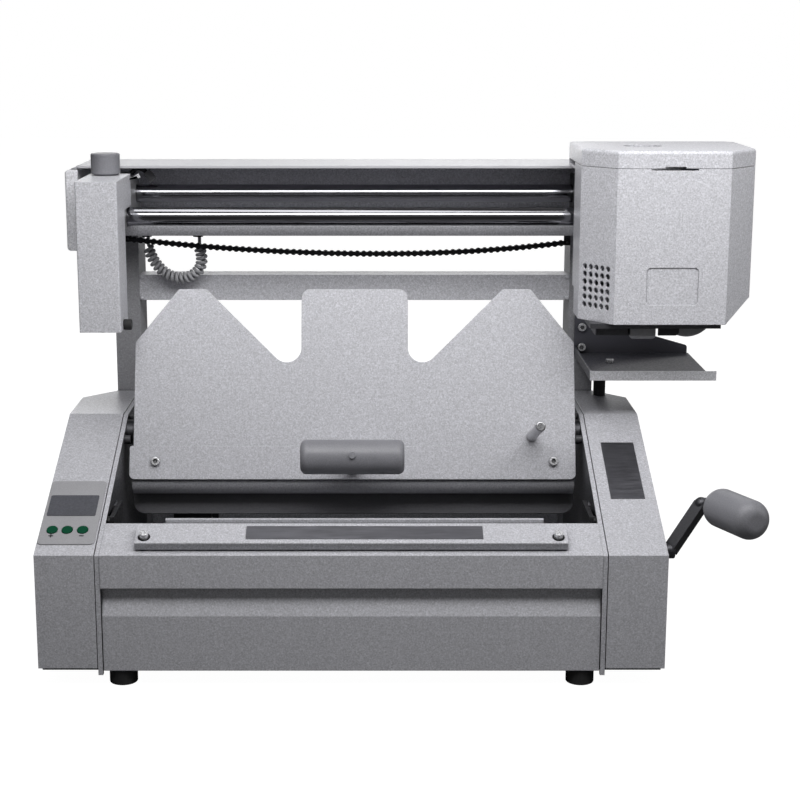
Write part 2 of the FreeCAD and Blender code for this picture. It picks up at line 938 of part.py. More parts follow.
def clamp_arms():
    points = [(bar2_back, -arm_low), (arm_back - arm_t / 2, -arm_low), (arm_back, 0),
              (arm_back, arm_r), (-arm_r, arm_r), (-arm_r, -bar2_high), (bar2_back, -bar2_high)]
    arm = slab_yz(points, bar2_half - arm_t, bar2_half, [0, arm_t / 4, 0, arm_r * 0.8,
                                                        arm_r * 0.8, 0, 0])
    return [on_clamp(side) for side in both(arm)]


def trunnions():
    face = bar2_half
    collar = cyl(collar_r, V(face, 0, 0), V(plate_inner - gap, 0, 0))
    pin = cyl(trunnion_r, V(face, 0, 0), V(plate_inner + trunnion_end, 0, 0))
    inner = plate_inner + plate_t + gap
    nut = cyl(nut_r, V(inner, 0, 0), V(inner + nut_t, 0, 0))
    lug = box(face, plate_inner - gap - loose, 0, lug_reach, -lug_half, lug_half)
    lug.rotate(V(0, 0, 0), V(1, 0, 0), lug_angle + clamp_tilt)
    body = collar.fuse([pin, nut, lug]).removeSplitter()
    return [on_clamp(side) for side in both(body)]


def wing_screws():
    out = []
    for x in (wing_x - wing_screw_x, wing_x + wing_screw_x):
        head = cyl(wing_screw_d / 2, V(x, 0, 0), V(x, 0, wing_screw_h))
        head = rings(head, wing_screw_d / 12)
        head = head.cut(hex_socket(x, 0, wing_screw_h, hex_deep))
        shank = cyl(wing_screw_d / 4 - running, V(x, 0, -wing_t - bar2_t / 2), V(x, 0, over / 10))
        screw = head.fuse(shank)
        screw.rotate(V(0, 0, 0), V(1, 0, 0), 90)
        screw.translate(V(0, -face_v - band_t, -wing_screw_u))
        out.append(on_clamp(screw))
    return out


def flip_pin():
    pin = cyl(pin_d / 2, V(pin_x, -face_v - pin_l, pin_u), V(pin_x, face_top, pin_u))
    pin = rings(pin, pin_tip_r)
    return on_clamp(pin)


def jaw_guides():
    rods = [cyl(guide_r - running, V(x, bar2_back - bar2_t / 2, guide_u), V(x, guide_tail, guide_u))
            for x in (-guide_x, guide_x)]
    return [on_clamp(rod) for rod in rods]


def clamp_screw():
    rod = cyl(screw_r, V(0, -handle_rim - over / 2, screw_u), V(0, screw_tail, screw_u))
    hub = cyl(hub_d / 2, V(0, -handle_rim, screw_u), V(0, -face_v - band_t - gap, screw_u))
    ring = cyl(ring_d / 2, V(0, bar2_back + gap, screw_u), V(0, bar2_back + gap + ring_t, screw_u))
    return on_clamp(rod.fuse([hub, ring]).removeSplitter())


def handle_grip():
    grip = cyl(handle_d / 2, V(-handle_l / 2, -handle_v, screw_u), V(handle_l / 2, -handle_v, screw_u))
    grip = rings(grip, handle_end_r)
    seat = cyl(hub_d / 2, V(0, -handle_rim, screw_u), V(0, 0, screw_u))
    seat = seat.fuse(cyl(screw_r, V(0, -handle_rim - over / 2, screw_u), V(0, 0, screw_u)))
    front = -handle_v - handle_d / 2
    stud = cyl(stud_d / 2, V(0, front - stud_h, screw_u), V(0, front + stud_d, screw_u))
    return on_clamp(grip.cut(seat).fuse(stud))


def rear_jaw():
    lower = slab_xz([(-jaw_half, -jaw_low), (jaw_half, -jaw_low), (jaw_half, -jaw_step),
                     (jaw_upper_half, -jaw_step), (jaw_upper_half, -jaw_high),
                     (-jaw_upper_half, -jaw_high), (-jaw_upper_half, -jaw_step),
                     (-jaw_half, -jaw_step)], jaw_front, jaw_front + jaw_t,
                    [jaw_corner_r, jaw_corner_r, 0, 0, 0, 0, 0, 0])
    cuts = [cyl(screw_r + running, V(0, 0, screw_u), V(0, screw_tail, screw_u)),
            cyl(jaw_pocket_r, V(0, jaw_front - over, screw_u),
                V(0, jaw_front + jaw_pocket_deep, screw_u))]
    for x in (-guide_x, guide_x):
        cuts.append(cyl(guide_r + running, V(x, 0, guide_u), V(x, guide_tail, guide_u)))
    return on_clamp(lower.cut(cuts))


def nip_plate():
    plate = box(-nip_left, nip_right, nip_y, nip_y + nip_t, nip_low, nip_top)
    half = nip_arm_x + nip_arm_t
    cross = box(-half, half, nip_y, nip_cross_back, nip_cross_z - nip_cross_t, nip_cross_z)
    parts = [cross]
    for s in (-1, 1):
        x0, x1 = sorted((s * nip_arm_x, s * half))
        parts.append(box(x0, x1, nip_y, nip_cross_back, nip_cross_z - nip_cross_t, nip_arm_top))
        parts.append(box(x0, x1, nip_y, nip_arm_back, nip_arm_low, nip_arm_top))
        for y in (nip_pin_front, nip_pin_back):
            parts.append(cyl(nip_pin_r, V(s * (nip_arm_x + nip_arm_t / 2), y, nip_pin_z),
                             V(s * nip_pin_end, y, nip_pin_z)))
        top = shaft_z - pinion_r - gap
        parts.append(box(s * rack_x - rack_w / 2, s * rack_x + rack_w / 2, rack_front,
                         nip_cross_back, nip_cross_z, top))
    return plate.fuse(parts).removeSplitter()


def lever_shaft():
    shaft = cyl(shaft_r, V(-shaft_left, shaft_y, shaft_z), V(hub_x, shaft_y, shaft_z))
    wheels = both(cyl(pinion_r, V(rack_x - pinion_w / 2, shaft_y, shaft_z),
                      V(rack_x + pinion_w / 2, shaft_y, shaft_z)))
    return shaft.fuse(wheels).removeSplitter()


def bar_between(start, end, side):
    run = end - start
    bar = box(-side / 2, side / 2, -side / 2, side / 2, 0, run.Length)
    bar.rotate(V(0, 0, 0), V(0, 0, 1), 45)
    bar.Placement = FreeCAD.Placement(start, FreeCAD.Rotation(V(0, 0, 1), run)).multiply(bar.Placement)
    return bar


def lever_ends():
    hub = V(hub_x + hub_l / 2, shaft_y, shaft_z)
    bend = V(bend_x, bend_y, bend_z)
    turn = V(neck_x, neck_y, neck_z)
    run = V(grip_dx, grip_dy, grip_dz)
    return hub, bend, turn, run


def lever_arm():
    hub, bend, turn, run = lever_ends()
    barrel = rings(cyl(hub_r, V(hub_x, shaft_y, shaft_z), V(hub_x + hub_l, shaft_y, shaft_z)), hub_r / 6)
    arm = bar_between(hub, bend, lever_side)
    room = box(body_half - lever_side, hub_x, shaft_y - lever_side, shaft_y + lever_side,
               shaft_z - lever_side, shaft_z + lever_side)
    knees = [Part.makeSphere(lever_side * knee_share, place) for place in (bend, turn)]
    rod = cyl(rod_r, turn, turn + run * rod_share)
    return barrel.fuse([arm.cut(room), bar_between(bend, turn, lever_side), rod] + knees)


def lever_grip():
    hub, bend, turn, run = lever_ends()
    unit = V(run)
    unit.normalize()
    start = turn + unit * neck
    grip = rings(cyl(grip_d / 2, start, turn + run), grip_end_r)
    bore = cyl(rod_r + running, turn, turn + run * rod_share + unit * running)
    knee = Part.makeSphere(lever_side * knee_share + running, turn)
    reach = bar_between(bend, turn, lever_side + 2 * running)
    return grip.cut([bore, knee, reach])


def control_fascia():
    panel = slab_xy([(-fascia_left, fascia_low), (-fascia_right, fascia_low), (-fascia_right, fascia_high),
                     (-fascia_left, fascia_high)], 0, fascia_t, fascia_r)
    holes = [slot(button_w + 2 * gap, button_l + 2 * gap, -x, button_at, -over, over)
             for x in button_xs]
    return on_slope(panel.cut(holes))


def display_window():
    return on_slope(slab_xy([(-window_left, window_low), (-window_right, window_low),
                             (-window_right, window_high), (-window_left, window_high)],
                            fascia_t, fascia_t + window_t, window_r))


def control_board():
    inset = (fascia_left - fascia_right) / 12
    board = box(-fascia_left + inset, -fascia_right - inset, fascia_low + inset,
                fascia_high - inset, -board_drop - board_t, -board_drop)
    legs = []
    for x in (-fascia_left + 2 * inset, -fascia_right - 2 * inset):
        for y in (fascia_low + 2 * inset, fascia_high - 2 * inset):
            legs.append(cyl(board_leg_r, V(x, y, -board_drop - board_t / 2), V(x, y, -sheet_t)))
    return on_slope(board.fuse(legs))


def button(place):
    x = -place
    cap = slot(button_w, button_l, x, button_at, fascia_t - button_deep - button_travel,
               fascia_t + button_rise)
    cap = rounded(cap, button_rise / 3, lambda e: e.BoundBox.ZLength < 0.01
                  and e.CenterOfMass.z > fascia_t)
    stem = cyl(stem_r, V(x, button_at, -board_drop + button_travel + gap), V(x, button_at, 0))
    return on_slope(cap.fuse(stem))


def drip_tray():
    rear = post_front
    floor = box(tray_left, tray_floor_right, tray_front, rear, tray_z, tray_z + tray_t)
    lip = box(tray_left, tray_right, tray_front, tray_front + tray_t, tray_z, tray_z + tray_lip)
    back = slab_xz([(tray_left, tray_z), (tray_knee_x, tray_z), (tray_knee_x, tray_z + tray_knee_h),
                    (tray_slope_x, tray_z + tray_back_h), (tray_left, tray_z + tray_back_h)],
                   rear - tray_t, rear, [0, 0, tray_knee_r, 0, 0])
    side = box(tray_left, tray_left + tray_t, tray_front, rear, tray_z, tray_z + tray_lip)
    tray = floor.fuse([lip, back, side]).removeSplitter()
    holes = []
    for share in tray_screw_zs_shares:
        z = tray_z + share * tray_back_h
        holes.append(cyl(tray_screw_d / 4 + running, V(tray_screw_x, rear - over, z),
                         V(tray_screw_x, rear + over, z)))
    holes.append(cyl(tray_screw_d / 4 + running, V(floor_screw_x, floor_screw_y, tray_z - over),
                     V(floor_screw_x, floor_screw_y, tray_z + over)))
    return tray.cut(holes)


def small_screw(place, spin_axis, spin):
    """Socket screw whose head stands up from the origin."""
    head = rings(cyl(tray_screw_d / 2, V(0, 0, 0), V(0, 0, tray_screw_h)), tray_screw_d / 12)
    head = head.cut(hex_socket(0, 0, tray_screw_h, hex_deep))
    screw = head.fuse(cyl(tray_screw_d / 4, V(0, 0, -tray_t), V(0, 0, over / 10)))
    if spin:
        screw.rotate(V(0, 0, 0), spin_axis, spin)
    screw.translate(place)
    return screw


def tray_screws():
    out = []
    for share in tray_screw_zs_shares:
        z = tray_z + share * tray_back_h
        out.append(small_screw(V(tray_screw_x, post_front - tray_t, z), V(1, 0, 0), 90))
    out.append(small_screw(V(floor_screw_x, floor_screw_y, tray_z + tray_t), V(1, 0, 0), 0))
    return out


def tray_buffer():
    return cyl(buffer_d / 2, V(buffer_x, buffer_y, top_z), V(buffer_x, buffer_y, tray_z))


def mill_cover():
    points = [(mill_front, mill_bottom), (mill_rear, mill_bottom), (mill_rear, mill_step_z),
              (mill_upper_rear, mill_step_z), (mill_upper_rear, mill_top), (mill_front, mill_top)]
    shell = slab_yz(points, -mill_left, -mill_right)
    shell = rounded(shell, mill_edge_r, lambda e: e.CenterOfMass.y < mill_front + 0.1 * over
                    and e.BoundBox.XLength < 0.01 and e.BoundBox.YLength < 0.01)
    t = sheet_t
    low = slab_yz([(mill_front + t, mill_bottom - over), (mill_rear - t, mill_bottom - over),
                   (mill_rear - t, mill_step_z + t), (mill_upper_rear - t, mill_step_z + t),
                   (mill_upper_rear - t, mill_top - t), (mill_front + t, mill_top - t)],
                  -mill_left + t, -mill_right - t)
    shell = shell.cut(low)
    shelf = box(-mill_left + t / 2, -mill_right - t / 2, mill_front + t / 2, mill_rear - t / 2,
                mill_shelf_z, mill_shelf_z + 2 * t)
    shell = shell.fuse(shelf).removeSplitter()
    mid = -(mill_left + mill_right) / 2
    holes = [cyl(spindle_r + gap, V(mid, motor_y, mill_shelf_z - over), V(mid, motor_y, mill_shelf_z + over)),
             cyl(knob_pin_r + running, V(-knob_x, knob_y, mill_top - over),
                 V(-knob_x, knob_y, mill_top + over))]
    return shell.cut(holes)


def mill_block():
    x0 = -mill_left + mill_block_in
    x1 = -mill_right - mill_block_in
    block = box(x0, x1, mill_rear, mill_block_rear, mill_block_z, mill_block_top)
    room = box(x0 - over, x1 + over, mill_rear - over, mill_upper_rear, mill_step_z, mill_block_top + over)
    bores = [cyl(rail_d / 2 + running, V(x0 - over, y, z), V(x1 + over, y, z))
             for y, z in ((lower_rail_y, lower_rail_z), (upper_rail_y, upper_rail_z))]
    return block.cut([room] + bores)


def mill_motor():
    mid = -(mill_left + mill_right) / 2
    z0 = mill_shelf_z + 2 * sheet_t
    motor = rings(cyl(motor_d / 2, V(mid, motor_y, z0), V(mid, motor_y, z0 + motor_l)), motor_d / 25)
    bore = cyl(spindle_r + running, V(mid, motor_y, z0 - over), V(mid, motor_y, spindle_top + gap))
    return motor.cut(bore)


def cutter():
    mid = -(mill_left + mill_right) / 2
    disc = cyl(cutter_d / 2, V(mid, motor_y, cutter_z), V(mid, motor_y, cutter_z + cutter_t))
    for i in range(tooth_count):
        notch = box(cutter_d / 2 - tooth_deep, cutter_d, -tooth_w / 2, tooth_w / 2, -over, over + cutter_t)
        notch.rotate(V(0, 0, 0), V(0, 0, 1), 360.0 / tooth_count * i)
        notch.translate(V(mid, motor_y, cutter_z))
        disc = disc.cut(notch)
    hub = cyl(cutter_hub_d / 2, V(mid, motor_y, cutter_z + cutter_t / 2), V(mid, motor_y, cutter_hub_top))
    spindle = cyl(spindle_r, V(mid, motor_y, cutter_z + cutter_t / 2), V(mid, motor_y, spindle_top))
    return disc.fuse([hub, spindle]).removeSplitter()


def mill_knob():
    neck_top = mill_top + knob_neck_h
    neck = cyl(knob_neck_d / 2, V(-knob_x, knob_y, mill_top), V(-knob_x, knob_y, neck_top))
    grip = cyl(knob_d / 2, V(-knob_x, knob_y, neck_top), V(-knob_x, knob_y, mill_top + knob_h))
    pin = cyl(knob_pin_r, V(-knob_x, knob_y, mill_top - knob_pin_l), V(-knob_x, knob_y, neck_top))
    return rings(grip, knob_d / 20).fuse([neck, pin]).removeSplitter()


def mill_bumper():
    pad = cyl(bumper_d / 2, V(-mill_right, bumper_y, bumper_z), V(-mill_right + bumper_h, bumper_y, bumper_z))
    return rings(pad, bumper_d / 10)


def pot_plan(inset, front, rear, corner=0):
    """Plan outline of the pot and its lid."""
    share = (pot_front_left - pot_left) / pot_chamfer_d
    cut = inset * (math.sqrt(1 + share ** 2) - 1) / share
    cut2 = inset * (math.sqrt(1 + share ** 2) - share)
    points = [(pot_front_left + cut2, front + inset), (pot_front_right - cut2, front + inset),
              (pot_right - inset, pot_front + pot_chamfer_d + cut)]
    if corner:
        points += [(pot_right - inset, rear - inset - corner), (pot_right - inset - corner, rear - inset)]
    else:
        points += [(pot_right - inset, rear - inset)]
    return points + [(pot_left + inset, rear - inset), (pot_left + inset, pot_front + pot_chamfer_d + cut)]


def bevel(inset):
    """Cutter under the bevelled right end."""
    rise = pot_bevel_z - pot_bottom
    unit = math.sqrt(bevel_run ** 2 + rise ** 2)
    lift = inset * unit / bevel_run
    low = pot_bottom + lift - over * rise / bevel_run
    points = [(pot_front_right - over, low), (pot_right + over, pot_bevel_z + lift + over * rise / bevel_run),
              (pot_right + over, low - over)]
    return slab_xz(points, pot_front - over, lid_rear + over)


def hinge_line():
    return lid_rear + hinge_back, pot_top + gap


def pot_body():
    t = sheet_t
    outer = slab_xy(pot_plan(0, pot_front, pot_rear), pot_bottom, pot_top).cut(bevel(0))
    outer = outer.cut(box(pot_left - over, pot_right + over, pot_low_rear, pot_rear + over,
                          pot_bottom - over, pot_step_z))
    inner = slab_xy(pot_plan(t, pot_front, pot_rear), pot_bottom + t, pot_top + over).cut(bevel(t))
    inner = inner.cut(box(pot_left - over, pot_right + over, pot_low_rear - t, pot_rear + over,
                          pot_bottom - over, pot_step_z + t))
    body = outer.cut(inner)
    shelf = box(pot_left, pot_right, pot_rear - t / 2, pot_shelf_rear + t, pot_shelf_z,
                pot_shelf_z + pot_shelf_t)
    wall = box(pot_left, pot_right, pot_shelf_rear, pot_shelf_rear + t, pot_shelf_z, pot_top)
    deck = slab_xy(pot_plan(t / 2, pot_front, pot_rear), deck_z, deck_z + deck_t)
    body = body.fuse([shelf, wall, deck])
    cuts = [box(feed_block_left - loose, mouth_right, mouth_front, pot_low_rear - t - loose,
                pot_bottom - over, pot_bevel_z),
            box(notch_left, notch_right, pot_front - over, pot_front + t + over, pot_top - notch_h,
                pot_top + over)]
    corner = math.atan2(pot_chamfer_d, pot_front_left - pot_left)
    for col in range(vent_cols):
        for row in range(vent_rows):
            along = vent_in + col * vent_pitch
            x = pot_left + along * math.cos(corner)
            y = pot_front + pot_chamfer_d - along * math.sin(corner)
            aim = V(math.sin(corner), math.cos(corner), 0)
            start = V(x, y, vent_low + row * vent_rise) - aim * over
            cuts.append(cyl(vent_d / 2, start, start + aim * over * 2))
    cuts.append(slab_xz([(badge2_x - badge2_w / 2, badge2_z - badge2_h / 2),
                         (badge2_x + badge2_w / 2, badge2_z - badge2_h / 2),
                         (badge2_x + badge2_w / 2, badge2_z + badge2_h / 2),
                         (badge2_x - badge2_w / 2, badge2_z + badge2_h / 2)],
                        pot_front - over, pot_front + badge2_deep, badge2_r))
    body = body.cut(cuts)
    hy, hz = hinge_line()
    spots = (pot_left + knuckle_in, pot_right - knuckle_in - knuckle_l)
    extra = [cyl(hinge_pin_r, V(spots[0], hy, hz), V(spots[1] + knuckle_l, hy, hz))]
    for x in spots:
        extra.append(cyl(hinge_r, V(x, hy, hz), V(x + knuckle_l, hy, hz)))
        extra.append(box(x, x + knuckle_l, pot_shelf_rear + t / 2, hy, hz - hinge_r, hz - hinge_r + leaf_t))
    return body.fuse(extra).removeSplitter()


def pot_lid():
    bottom = pot_top + gap
    outer = slab_xy(pot_plan(0, pot_front, lid_rear, lid_rear_chamfer), bottom, lid_top)
    outer = rounded(outer, lid_edge_r, lambda e: e.CenterOfMass.z > lid_top - 0.01)
    inner = slab_xy(pot_plan(sheet_t, pot_front, lid_rear, lid_rear_chamfer), bottom - over,
                    lid_top - sheet_t - lid_edge_r / 2)
    hole = cyl(feed_d / 2, V(feed_x, feed_y, pot_top), V(feed_x, feed_y, lid_top + over))
    finger = box(finger_left, finger_right, pot_front - over, pot_front + over, bottom - over,
                 bottom + finger_h)
    hy, hz = hinge_line()
    x0 = pot_left + knuckle_in + knuckle_l + gap
    x1 = pot_right - knuckle_in - knuckle_l - gap
    barrel = cyl(hinge_r, V(x0, hy, hz), V(x1, hy, hz))
    leaf = box(x0, x1, lid_rear - sheet_t / 2, hy, hz + hinge_r - leaf_t, hz + hinge_r)
    lid = outer.cut([inner, hole, finger]).fuse([barrel, leaf])
    return lid.cut(cyl(hinge_pin_r + running, V(x0 - over, hy, hz), V(x1 + over, hy, hz)))


def pot_tank():
    floor = deck_z + deck_t
    tank = box(tank_left, tank_right, tank_front, tank_rear, floor, tank_top)
    well = box(tank_left + tank_wall, tank_right - tank_wall, tank_front + tank_wall,
               tank_rear - tank_wall, floor + tank_wall, tank_top + over)
    front = box(pot_front_left + 2 * tank_wall, pot_front_right - 2 * tank_wall, tank_mouth_front,
                tank_front + tank_wall, floor, tank_top)
    front_well = box(pot_front_left + 3 * tank_wall, pot_front_right - 3 * tank_wall,
                     tank_mouth_front + tank_wall, tank_front + 2 * tank_wall, floor + tank_wall,
                     tank_top + over)
    return tank.fuse(front).cut([well, front_well]).removeSplitter()


def glue_outlet():
    block = box(feed_block_left, feed_block_right, feed_block_front, feed_block_rear,
                feed_block_low, deck_z)
    return rounded(block, feed_block_r, lambda e: e.CenterOfMass.z < feed_block_low + 0.01)


def roller_sides():
    out = []
    rear = roller_front + roller_l
    front = roller_front - sheet_t - side_t
    for y in (front, rear + sheet_t):
        side = box(roller_x - side_half, roller_x + side_half, y, y + side_t, side_low, deck_z)
        if y == front:
            blade = slab_xz([(scraper_left, scraper_low), (scraper_right, scraper_low),
                             (scraper_right, deck_z), (scraper_left, deck_z)], y, y + side_t,
                            [0, scraper_r, 0, 0])
            side = side.fuse(blade)
        hole = cyl(roller_pin_r + running, V(roller_x, y - over, roller_z), V(roller_x, y + over, roller_z))
        out.append(side.cut(hole))
    return out


def glue_roller():
    rear = roller_front + roller_l
    drum = rings(cyl(roller_d / 2, V(roller_x, roller_front, roller_z), V(roller_x, rear, roller_z)),
                 sheet_t)
    reach = sheet_t + side_t
    pin = cyl(roller_pin_r, V(roller_x, roller_front - reach, roller_z), V(roller_x, rear + reach, roller_z))
    return drum.fuse(pin).removeSplitter()


def pot_base():
    plate = box(base_plate_left, base_plate_right, base_plate_front, base_plate_rear,
                pot_bottom - base_plate_t, pot_bottom)
    cuts = [box(feed_block_left - gap, feed_block_right + gap, feed_block_front - gap,
                feed_block_rear + gap, 0, pot_bottom + over),
            box(scraper_left - gap, pot_right, roller_front - sheet_t - side_t - gap, pot_rear,
                0, pot_bottom + over)]
    trough = box(trough_left, trough_right, trough_front, trough_rear, trough_low, pot_bottom)
    return plate.cut(cuts).fuse(rounded(trough, sheet_t, lambda e: e.BoundBox.ZLength > over))


def pot_bracket():
    block = box(bracket_left, bracket_right, pot_rear, mill_block_rear, mill_block_z, mill_block_top)
    bores = [cyl(rail_d / 2 + running, V(bracket_left - over, y, z), V(bracket_right + over, y, z))
             for y, z in ((lower_rail_y, lower_rail_z), (upper_rail_y, upper_rail_z))]
    return block.cut(bores)


def chain_height(x):
    """Height of the hanging chain, two parabolas meeting at its lowest point."""
    if x < chain_low_x:
        share = (x - chain_low_x) / (-chain_left - chain_low_x)
        return chain_low_z + (chain_left_z - chain_low_z) * share ** 2
    share = (x - chain_low_x) / (chain_right - chain_low_x)
    return chain_low_z + (chain_right_z - chain_low_z) * share ** 2


def chain_nodes():
    points = [V(-chain_left, chain_y, chain_left_z)]
    while points[-1].x < chain_right - link_pitch:
        x = points[-1].x
        z = points[-1].z
        near = x + link_pitch
        for _ in range(20):
            run = near - x
            rise = chain_height(near) - z
            near = x + run * link_pitch / math.sqrt(run ** 2 + rise ** 2)
        points.append(V(near, chain_y, chain_height(near)))
    if len(points) % 2:
        points.pop()
    return points


def figure(thick, y0):
    """Figure-eight plate from one pin to the next along X."""
    r = link_h / 2
    waist = r * waist_share
    body = cyl(r, V(0, y0, 0), V(0, y0 + thick, 0))
    body = body.fuse([cyl(r, V(link_pitch, y0, 0), V(link_pitch, y0 + thick, 0)),
                      box(0, link_pitch, y0, y0 + thick, -waist, waist)])
    return body.removeSplitter()


def link_chain():
    points = chain_nodes()
    half = inner_w / 2
    inner = figure(inner_w, -half)
    bores = [cyl(link_pin_r + link_gap, V(x, -over, 0), V(x, over, 0)) for x in (0, link_pitch)]
    inner = inner.cut(bores)
    near = half + link_gap
    pins = [cyl(link_pin_r, V(x, -near - outer_t, 0), V(x, near + outer_t, 0)) for x in (0, link_pitch)]
    outer = figure(outer_t, near).fuse([figure(outer_t, -near - outer_t)] + pins).removeSplitter()
    links = []
    for i in range(len(points) - 1):
        run = points[i + 1] - points[i]
        link = (inner if i % 2 == 0 else outer).copy()
        link.rotate(V(0, 0, 0), V(0, 1, 0), -math.degrees(math.atan2(run.z, run.x)))
        link.translate(points[i])
        links.append(link)
    return links


def chain_hooks():
    points = chain_nodes()
    out = []
    for end in (points[0], points[-1]):
        rear = chain_y + inner_w / 2 + link_gap
        ear = box(end.x - hook_w / 2, end.x + hook_w / 2, rear, rear + hook_t, end.z - hook_w / 2,
                  beam_floor_z)
        pin = cyl(link_pin_r, V(end.x, chain_y - inner_w / 2 - outer_t, end.z),
                  V(end.x, rear + hook_t, end.z))
        out.append(ear.fuse(pin).removeSplitter())
    return out


def route_points():
    """Places and directions along the cord's loop, evenly spaced."""
    top = beam_floor_z - gland_h
    knots = [V(cord_route[0][0], cord_y, top)]
    knots += [V(x, cord_y, z) for x, z in cord_route]
    knots.append(V(cord_route[-1][0], cord_y, top))
    curve = Part.BSplineCurve()
    curve.interpolate(knots, InitialTangent=V(0, 0, -1), FinalTangent=V(0, 0, 1))
    return curve


def biarc(p0, t0, p1, t1):
    """Two arcs from p0 to p1 that meet the directions t0 and t1."""
    chord = p1 - p0
    sum_t = t0 + t1
    a = 2 * (1 - t0.dot(t1))
    b = 2 * chord.dot(sum_t)
    c = chord.dot(chord)
    d = c / b if a < 1e-9 else (math.sqrt(b * b + 4 * a * c) - b) / (2 * a)
    q0 = p0 + t0 * d
    q1 = p1 - t1 * d
    joint = (q0 + q1) * 0.5
    out = []
    for start, corner, end in ((p0, q0, joint), (joint, q1, p1)):
        back = start - corner
        ahead = end - corner
        half = back.getAngle(ahead) / 2
        middle = back + ahead
        if half > math.pi / 2 - 1e-4 or middle.Length < 1e-7:
            out.append(Part.LineSegment(start, end).toShape())
            continue
        middle.normalize()
        radius = back.Length * math.tan(half)
        reach = radius / math.sin(half) - radius
        out.append(Part.Arc(start, corner + middle * reach, end).toShape())
    return out


def curly_cord():
    curve = route_points()
    first, last = curve.FirstParameter, curve.LastParameter
    steps = 4 * curl_count
    length = curve.length()
    radius = (cord_outer_d - cord_wire_d) / 2
    lead = cord_lead
    places = []
    for i in range(steps + 1):
        s = lead + (length - 2 * lead) * i / steps
        u = curve.parameterAtDistance(s, first)
        centre = curve.value(u)
        along = V(curve.tangent(u)[0])
        side = V(0, 1, 0)
        up = along.cross(side)
        angle = math.pi / 2 * i
        out = side * math.cos(angle) + up * math.sin(angle)
        turn = up * math.cos(angle) - side * math.sin(angle)
        pitch = (length - 2 * lead) / curl_count
        tangent = turn * (2 * math.pi * radius) + along * pitch
        tangent.normalize()
        places.append((centre + out * radius, tangent))
    start = V(places[0][0].x, places[0][0].y, beam_floor_z - gland_h)
    end = V(places[-1][0].x, places[-1][0].y, beam_floor_z - gland_h)
    places = [(start, V(0, 0, -1))] + places + [(end, V(0, 0, 1))]
    edges = []
    for i in range(len(places) - 1):
        edges += biarc(places[i][0], places[i][1], places[i + 1][0], places[i + 1][1])
    path = Part.Wire(edges)
    ring = Part.Wire([Part.makeCircle(cord_wire_d / 2, places[0][0], V(0, 0, 1))])
    pipe = Part.BRepOffsetAPI.MakePipeShell(path)
    pipe.add(ring)
    pipe.build()
    pipe.makeSolid()
    tube = pipe.shape()
    spots = []
    for i, edge in enumerate(edges):
        for k in range(4):
            a = edge.FirstParameter + (edge.LastParameter - edge.FirstParameter) * k / 4
            spots.append((i + k / 4.0, edge.valueAt(a)))
    least = min((p - q).Length for a, p in spots for b, q in spots if b - a > 5)
    print("curly cord: length %.1f, volume ratio %.4f, least gap to itself %.2f" % (
        path.Length, tube.Volume / (math.pi * cord_wire_d ** 2 / 4 * path.Length),
        least - cord_wire_d))
    return tube, start, end


def cord_glands(start, end):
    return [cyl(gland_d / 2, V(p.x, p.y, beam_floor_z - gland_h), V(p.x, p.y, beam_floor_z))
            for p in (start, end)]


def power_inlet():
    x0 = -inlet_x - inlet_w / 2
    x1 = -inlet_x + inlet_w / 2
    rear = body_depth
    body = box(x0, x1, rear - inlet_deep, rear, inlet_z + gap, inlet_z + inlet_h - gap)
    flange = box(x0 - inlet_flange, x1 + inlet_flange, rear - rear_panel_t - sheet_t,
                 rear - rear_panel_t, inlet_z - inlet_flange / 2, inlet_z + inlet_h + inlet_flange / 2)
    well = box(x0 + inlet_socket_in, x1 - inlet_socket_in, rear - inlet_socket_deep, rear + over,
               inlet_z + inlet_socket_in, inlet_z + inlet_h - inlet_socket_in)
    body = body.fuse(flange).cut(well)
    mid = inlet_z + inlet_h / 2
    for dx in (-inlet_w / 4, 0, inlet_w / 4):
        x = -inlet_x + dx
        body = body.fuse(box(x - inlet_pin_w / 2, x + inlet_pin_w / 2, rear - inlet_socket_deep - sheet_t,
                             rear - inlet_socket_deep + inlet_pin_l, mid - inlet_pin_h / 2,
                             mid + inlet_pin_h / 2))
    return body.removeSplitter()


def cap_screws():
    out = []
    for y, z in ((lower_rail_y, lower_rail_z), (upper_rail_y, upper_rail_z)):
        head = rings(cyl(cap_screw_d / 2, V(body_half, y, z), V(body_half + cap_screw_h, y, z)),
                     cap_screw_h / 3)
        out += both(head)
    return out


